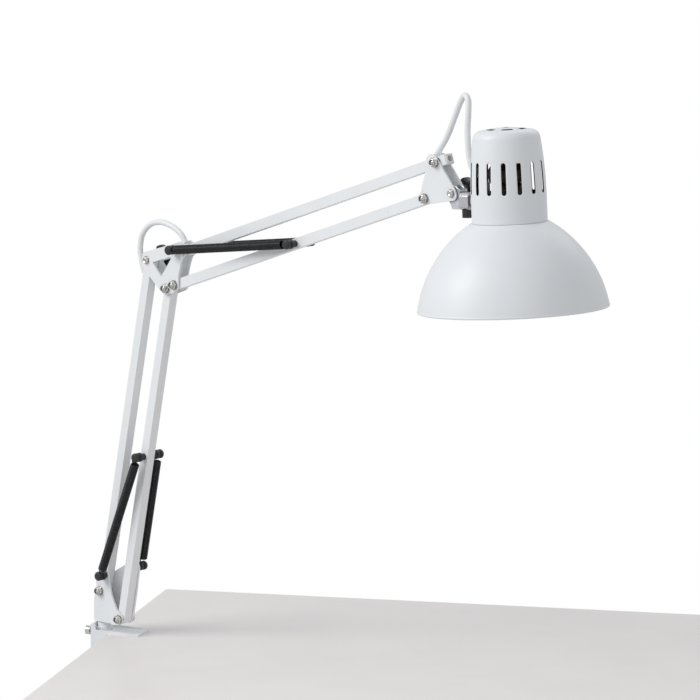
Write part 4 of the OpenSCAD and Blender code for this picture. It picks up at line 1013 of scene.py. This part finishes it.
# The cap's side has 15 cells of 24 degrees between two heights, each round a slot with half-round ends or
# the grommet's hole. Its top has 6 cells of 60 degrees, each round a curved slot. All rows share 240 places
# round the cap.
SIDE_CELLS, SIDE_CELL, SIDE_FIRST, SIDE_LOW, SIDE_HIGH = 15, 24, -102.5, 22.0, 62.0
SLOT_R, SLOT_LOW, SLOT_HIGH = 2.2, 29.2, 54.8
GROMMET_CELL, GROMMET_R, GROMMET_Z = 12, 4.9, 46
TOP_CELLS, TOP_CELL, TOP_FIRST, TOP_IN = 6, 60, 16, 11
ARC_SLOT_TURN, ARC_SLOT_R, ARC_SLOT_HALF = 18, 17.1, 2.3
PLACES = 240
BROW = CAP_H - CROWN


class LAMP_OT_shade(bpy.types.Operator):
    """Bowl with a rolled hem, slotted cap, grommet, and the strap inside"""
    bl_idname = "lamp.build_shade"
    bl_label = "Shade"

    def execute(self, context):
        piece("shade_bowl_spun", placed(turned(self.bowl(), 192), SHADE_AT), "shade", "shade",
              nodes=("shade_bowl",), sharp=50)
        points, faces = self.cap()
        cap = piece("shade_cap_slotted", placed((points + [0, 0, BOWL_H], faces), SHADE_AT), "shade", "shade",
                    nodes=("shade_cap",), sharp=42)
        wall = cap.modifiers.new("wall", "SOLIDIFY")
        wall.thickness, wall.offset, wall.use_even_offset = SHEET_T * MM, -1.0, True
        # The sheet's inner face and the cut edges of its slots and skirt take the inside finish: painted
        # shade.
        cap.data.materials.append(finish_of("inside"))
        wall.material_offset = wall.material_offset_rim = 1
        eased("cap_grommet", "shade", "fittings", width=0.55, segments=3)
        eased("holder_strap", "shade", "zinc", width=0.3)
        return {"FINISHED"}

    def bowl(self):
        """Closed profile of the bowl: the outer arc of radius BOWL_ARC from hem to neck, the neck inside
        the cap's skirt, the inner arc a sheet's thickness smaller, and the hem, a circle about a point
        inside the rim."""
        p, q = np.array([RIM_R, 0.0]), np.array([CAP_R + 1.5, BOWL_H - 0.3])
        d = q - p
        o = (p + q) / 2 + np.array([-d[1], d[0]]) / np.hypot(*d) * math.sqrt(BOWL_ARC ** 2 - d @ d / 4)
        a0, a1 = math.atan2(*(p - o)[::-1]), math.atan2(*(q - o)[::-1])
        a = np.linspace(a0 + 0.021, a1, 40)
        outer = o + BOWL_ARC * np.c_[np.cos(a), np.sin(a)]
        b = np.linspace(a1 - 0.012, a0 + 0.022, 40)
        inner = o + (BOWL_ARC - SHEET_T) * np.c_[np.cos(b), np.sin(b)]
        neck_r = 33.8
        neck = eased_profile([outer[-1], (neck_r, BOWL_H - 0.1), (neck_r, BOWL_H + 8),
                              (neck_r - SHEET_T, BOWL_H + 8), (neck_r - SHEET_T, BOWL_H - 1.4), inner[0]],
                             0.7, 4)[1:-1]
        h = np.radians(np.linspace(128, 410, 20))
        roll = np.array([RIM_R - SHEET_T, 1.3]) + sizes().hem / MM * np.c_[np.cos(h), np.sin(h)]
        return np.concatenate([outer, neck, inner, roll, outer[:1]])

    def cap(self):
        """The cap as one sheet: a band of cells, the skirt below it, the side and shoulder above it, the
        middle of the crowned top round a square hole, and the cells round that. The shoulder is an arc
        of SHOULDER_R."""
        lean = math.asin((BROW - SHOULDER_R - CAP_STRAIGHT) / CAP_ARC)
        centre_r = CAP_R - CAP_ARC * (1 - math.cos(lean)) - SHOULDER_R
        f = np.linspace(lean, math.pi / 2, 12)
        shoulder = np.c_[centre_r + SHOULDER_R * np.cos(f), BROW - SHOULDER_R + SHOULDER_R * np.sin(f)]
        top_r = shoulder[-1, 0]

        def crowned(r):
            return BROW + CROWN * (1 - (r / top_r) ** 2)

        skirt = np.array([0, 0.6, 2, 6, 12, 17, SIDE_LOW])
        rise = np.linspace(SIDE_HIGH, BROW - 9.6, 6)
        middle_r = np.array([TOP_IN, 8, 5, 2.9, 2.8])
        bands = [self.band(profile) for profile in (
            np.c_[cap_radius(skirt), skirt], np.concatenate([np.c_[cap_radius(rise), rise], shoulder]),
            np.c_[middle_r, crowned(middle_r)])]
        return joined(*self.side_cells(), *bands, *self.top_cells(top_r, crowned))

    def band(self, profile):
        """A closed band of (radius, height) rows. Below a radius of 3 it is drawn out to a square."""
        angle = (SIDE_FIRST - SIDE_CELL / 2 + 360 / PLACES * np.arange(PLACES))[:, None]
        a = np.radians(angle)
        r, z = [np.broadcast_to(column, (PLACES, len(profile))) for column in profile.T]
        r = np.where(r < 3, r / np.maximum(abs(np.cos(a)), abs(np.sin(a))), r)
        return sheet_grid(round_axis(r, angle, z), wrap_u=True)

    def side_cells(self):
        """Cells round the side: each hole's points are set out on the unrolled side and turned into
        degrees."""
        wide, tall = 16, 20
        b, s = np.linspace(0, 1, wide, endpoint=False), np.linspace(0, 1, tall, endpoint=False)
        under, over = np.radians(180 + 180 * b), np.radians(180 * b)
        length = SLOT_HIGH - SLOT_LOW
        slot = np.concatenate([np.c_[SLOT_R * np.cos(under), SLOT_LOW + SLOT_R * np.sin(under)],
                               np.c_[np.full(tall, SLOT_R), SLOT_LOW + length * s],
                               np.c_[SLOT_R * np.cos(over), SLOT_HIGH + SLOT_R * np.sin(over)],
                               np.c_[np.full(tall, -SLOT_R), SLOT_HIGH - length * s]])
        turn = np.radians(np.concatenate([225 + 90 * b, 315 + 90 * s, 45 + 90 * b, 135 + 90 * s]))
        lead_hole = np.c_[GROMMET_R * np.cos(turn), GROMMET_Z + GROMMET_R * np.sin(turn)]

        def on_side(q):
            return round_axis(cap_radius(q[..., 1]), q[..., 0], q[..., 1])

        cells = []
        for k in range(SIDE_CELLS):
            middle = SIDE_FIRST + SIDE_CELL * k
            rim = edge_ring(middle - SIDE_CELL / 2, middle + SIDE_CELL / 2, SIDE_LOW, SIDE_HIGH, wide, tall)
            x, z = (lead_hole if k == GROMMET_CELL else slot).T
            hole = np.c_[middle + np.degrees(x / cap_radius(z)), z]
            cells.append(ring_cell(hole, rim, on_side))
        return cells

    def top_cells(self, top_r, crowned):
        """Cells of the crowned top, in degrees and radius: each slot's ends bend in with the square of
        the distance from its middle line."""

        def on_top(q):
            return round_axis(q[..., 1], q[..., 0], crowned(q[..., 1]))

        cells = []
        for k in range(TOP_CELLS):
            middle = TOP_CELL * k + TOP_FIRST
            rim = edge_ring(middle - TOP_CELL / 2, middle + TOP_CELL / 2, TOP_IN, top_r, 40, 6)
            hole = edge_ring(middle - ARC_SLOT_TURN, middle + ARC_SLOT_TURN, ARC_SLOT_R - ARC_SLOT_HALF,
                             ARC_SLOT_R + ARC_SLOT_HALF, 40, 6)
            off = (hole[:, 1] - ARC_SLOT_R) / ARC_SLOT_HALF
            hole[:, 0] = middle + (hole[:, 0] - middle) * (1 - 0.09 * off ** 2)
            cells.append(ring_cell(hole, rim, on_top, 4))
        return cells


# Holder and bulb in the shade's frame: the holder's mouth, and the bulb's ball and length
MOUTH = BOWL_H - 7
BALL_R, BULB_LONG = 30, 62


class LAMP_OT_bulb(bpy.types.Operator):
    """Lamp holder with its nut, and the screw-in bulb"""
    bl_idname = "lamp.build_bulb"
    bl_label = "Holder and bulb"

    def execute(self, context):
        for name, shape, finish, nodes, sharp in (
                ("lamp_holder_turned", self.holder(), "holder", ("lamp_holder",), 38),
                ("holder_cover", self.cover(), "holder", (), 38),
                ("bulb_cap_screw", self.screw(), "cap", ("bulb_base",), 60),
                ("bulb_body", self.bulb(), "opal", ("bulb_glass",), 45)):
            piece(name, placed(shape, SHADE_AT), "shade", finish, nodes=nodes, sharp=sharp)
        return {"FINISHED"}

    def holder(self):
        """A sleeve with a shoulder and a narrow neck, and the hexagon nut on it."""
        m = MOUTH
        case = eased_profile([(0, m + 29), (14.6, m + 29), (14.6, m), (19, m), (19, m + 30), (17, m + 33),
                              (16, 113), (12, 118), (5, 118), (5, 125), (0, 125)], 0.8, 4)
        nut = np.concatenate([[[5.0, 119.5], [6.6, 119.5]], flat_rows(119.5, 122.5, 5),
                              [[6.6, 122.5], [5.0, 122.5], [5.0, 119.5]]])
        return joined(turned(case, 72), turned(nut, 72, hexagon(16, 119.45, 122.55)))

    def cover(self):
        """A dark cup over the nut, with a hole in its top."""
        cup = eased_profile([(5.2, 119.6), (17.5, 119.6), (18.5, 124), (18.5, 131), (15, 135.5), (3.4, 136.5),
                             (3.4, 134), (3.4, 121), (5.2, 119.6)], 1.4, 4)
        return turned(cup, 72)

    def screw(self):
        """The bulb's metal cap: radius = 12.9 + 0.38 cos(2 pi z / 3.6), and its insulated end."""
        z = np.linspace(MOUTH - 0.2, MOUTH + 25, 80)
        thread = np.c_[12.9 + 0.38 * np.cos(2 * math.pi * z / 3.6), z]
        end = [(9, MOUTH + 26.2), (4.6, MOUTH + 27), (4.6, MOUTH + 28.6), (0, MOUTH + 28.7)]
        return turned(np.concatenate([[[0, MOUTH - 0.3], [12.6, MOUTH - 0.3]], thread, end]), 72)

    def bulb(self):
        """A ball that narrows to the metal cap, with a shallow seam where the opal part ends."""
        low = MOUTH - 0.3 - BULB_LONG
        a = np.radians(np.linspace(-90, 24, 34))
        ball = np.c_[BALL_R * np.cos(a), low + BALL_R + BALL_R * np.sin(a)]
        ball[0, 0] = 0
        neck = curve_through([ball[-1], [23.2, low + 48], [18.4, low + 54], [14.9, low + 59],
                              [13.4, low + BULB_LONG]], 6)[1:]
        seam = (np.abs(neck[:, 1] - (low + 50)) < 0.8)[:, None] * [-0.35, 0]
        return turned(np.concatenate([ball, neck + seam, [[0, low + BULB_LONG]]]), 96)


STEPS = ("build_studio", "build_leads", "build_springs", "build_arm", "build_clamp", "build_head",
         "build_shade", "build_bulb")


class LAMP_PT_parts(bpy.types.Panel):
    """Lists the builders with the sizes and colours they use"""
    bl_idname = "LAMP_PT_parts"
    bl_label = "Desk lamp"
    bl_space_type = "VIEW_3D"
    bl_region_type = "UI"
    bl_category = "Lamp"

    def draw(self, context):
        for step in STEPS:
            self.layout.operator("lamp." + step)
        for group in (context.scene.lamp_sizes, context.scene.lamp_colours):
            box = self.layout.box()
            for key in group.__annotations__:
                box.prop(group, key)


CLASSES = (LampColours, LampSizes, LAMP_OT_studio, LAMP_OT_leads, LAMP_OT_springs, LAMP_OT_arm, LAMP_OT_clamp,
           LAMP_OT_head, LAMP_OT_shade, LAMP_OT_bulb, LAMP_PT_parts)


def register():
    """Registers the classes and puts both groups of settings on the scene."""
    for kind in CLASSES:
        bpy.utils.register_class(kind)
    bpy.types.Scene.lamp_colours = bpy.props.PointerProperty(type=LampColours)
    bpy.types.Scene.lamp_sizes = bpy.props.PointerProperty(type=LampSizes)


def unregister():
    """Takes both groups and the classes away again."""
    del bpy.types.Scene.lamp_colours, bpy.types.Scene.lamp_sizes
    for kind in reversed(CLASSES):
        bpy.utils.unregister_class(kind)


def main():
    """Builds every part in order."""
    register()
    for step in STEPS:
        if getattr(bpy.ops.lamp, step)() != {"FINISHED"}:
            raise RuntimeError(step + " did not finish")
    bpy.context.view_layer.update()


if __name__ == "__main__":
    main()
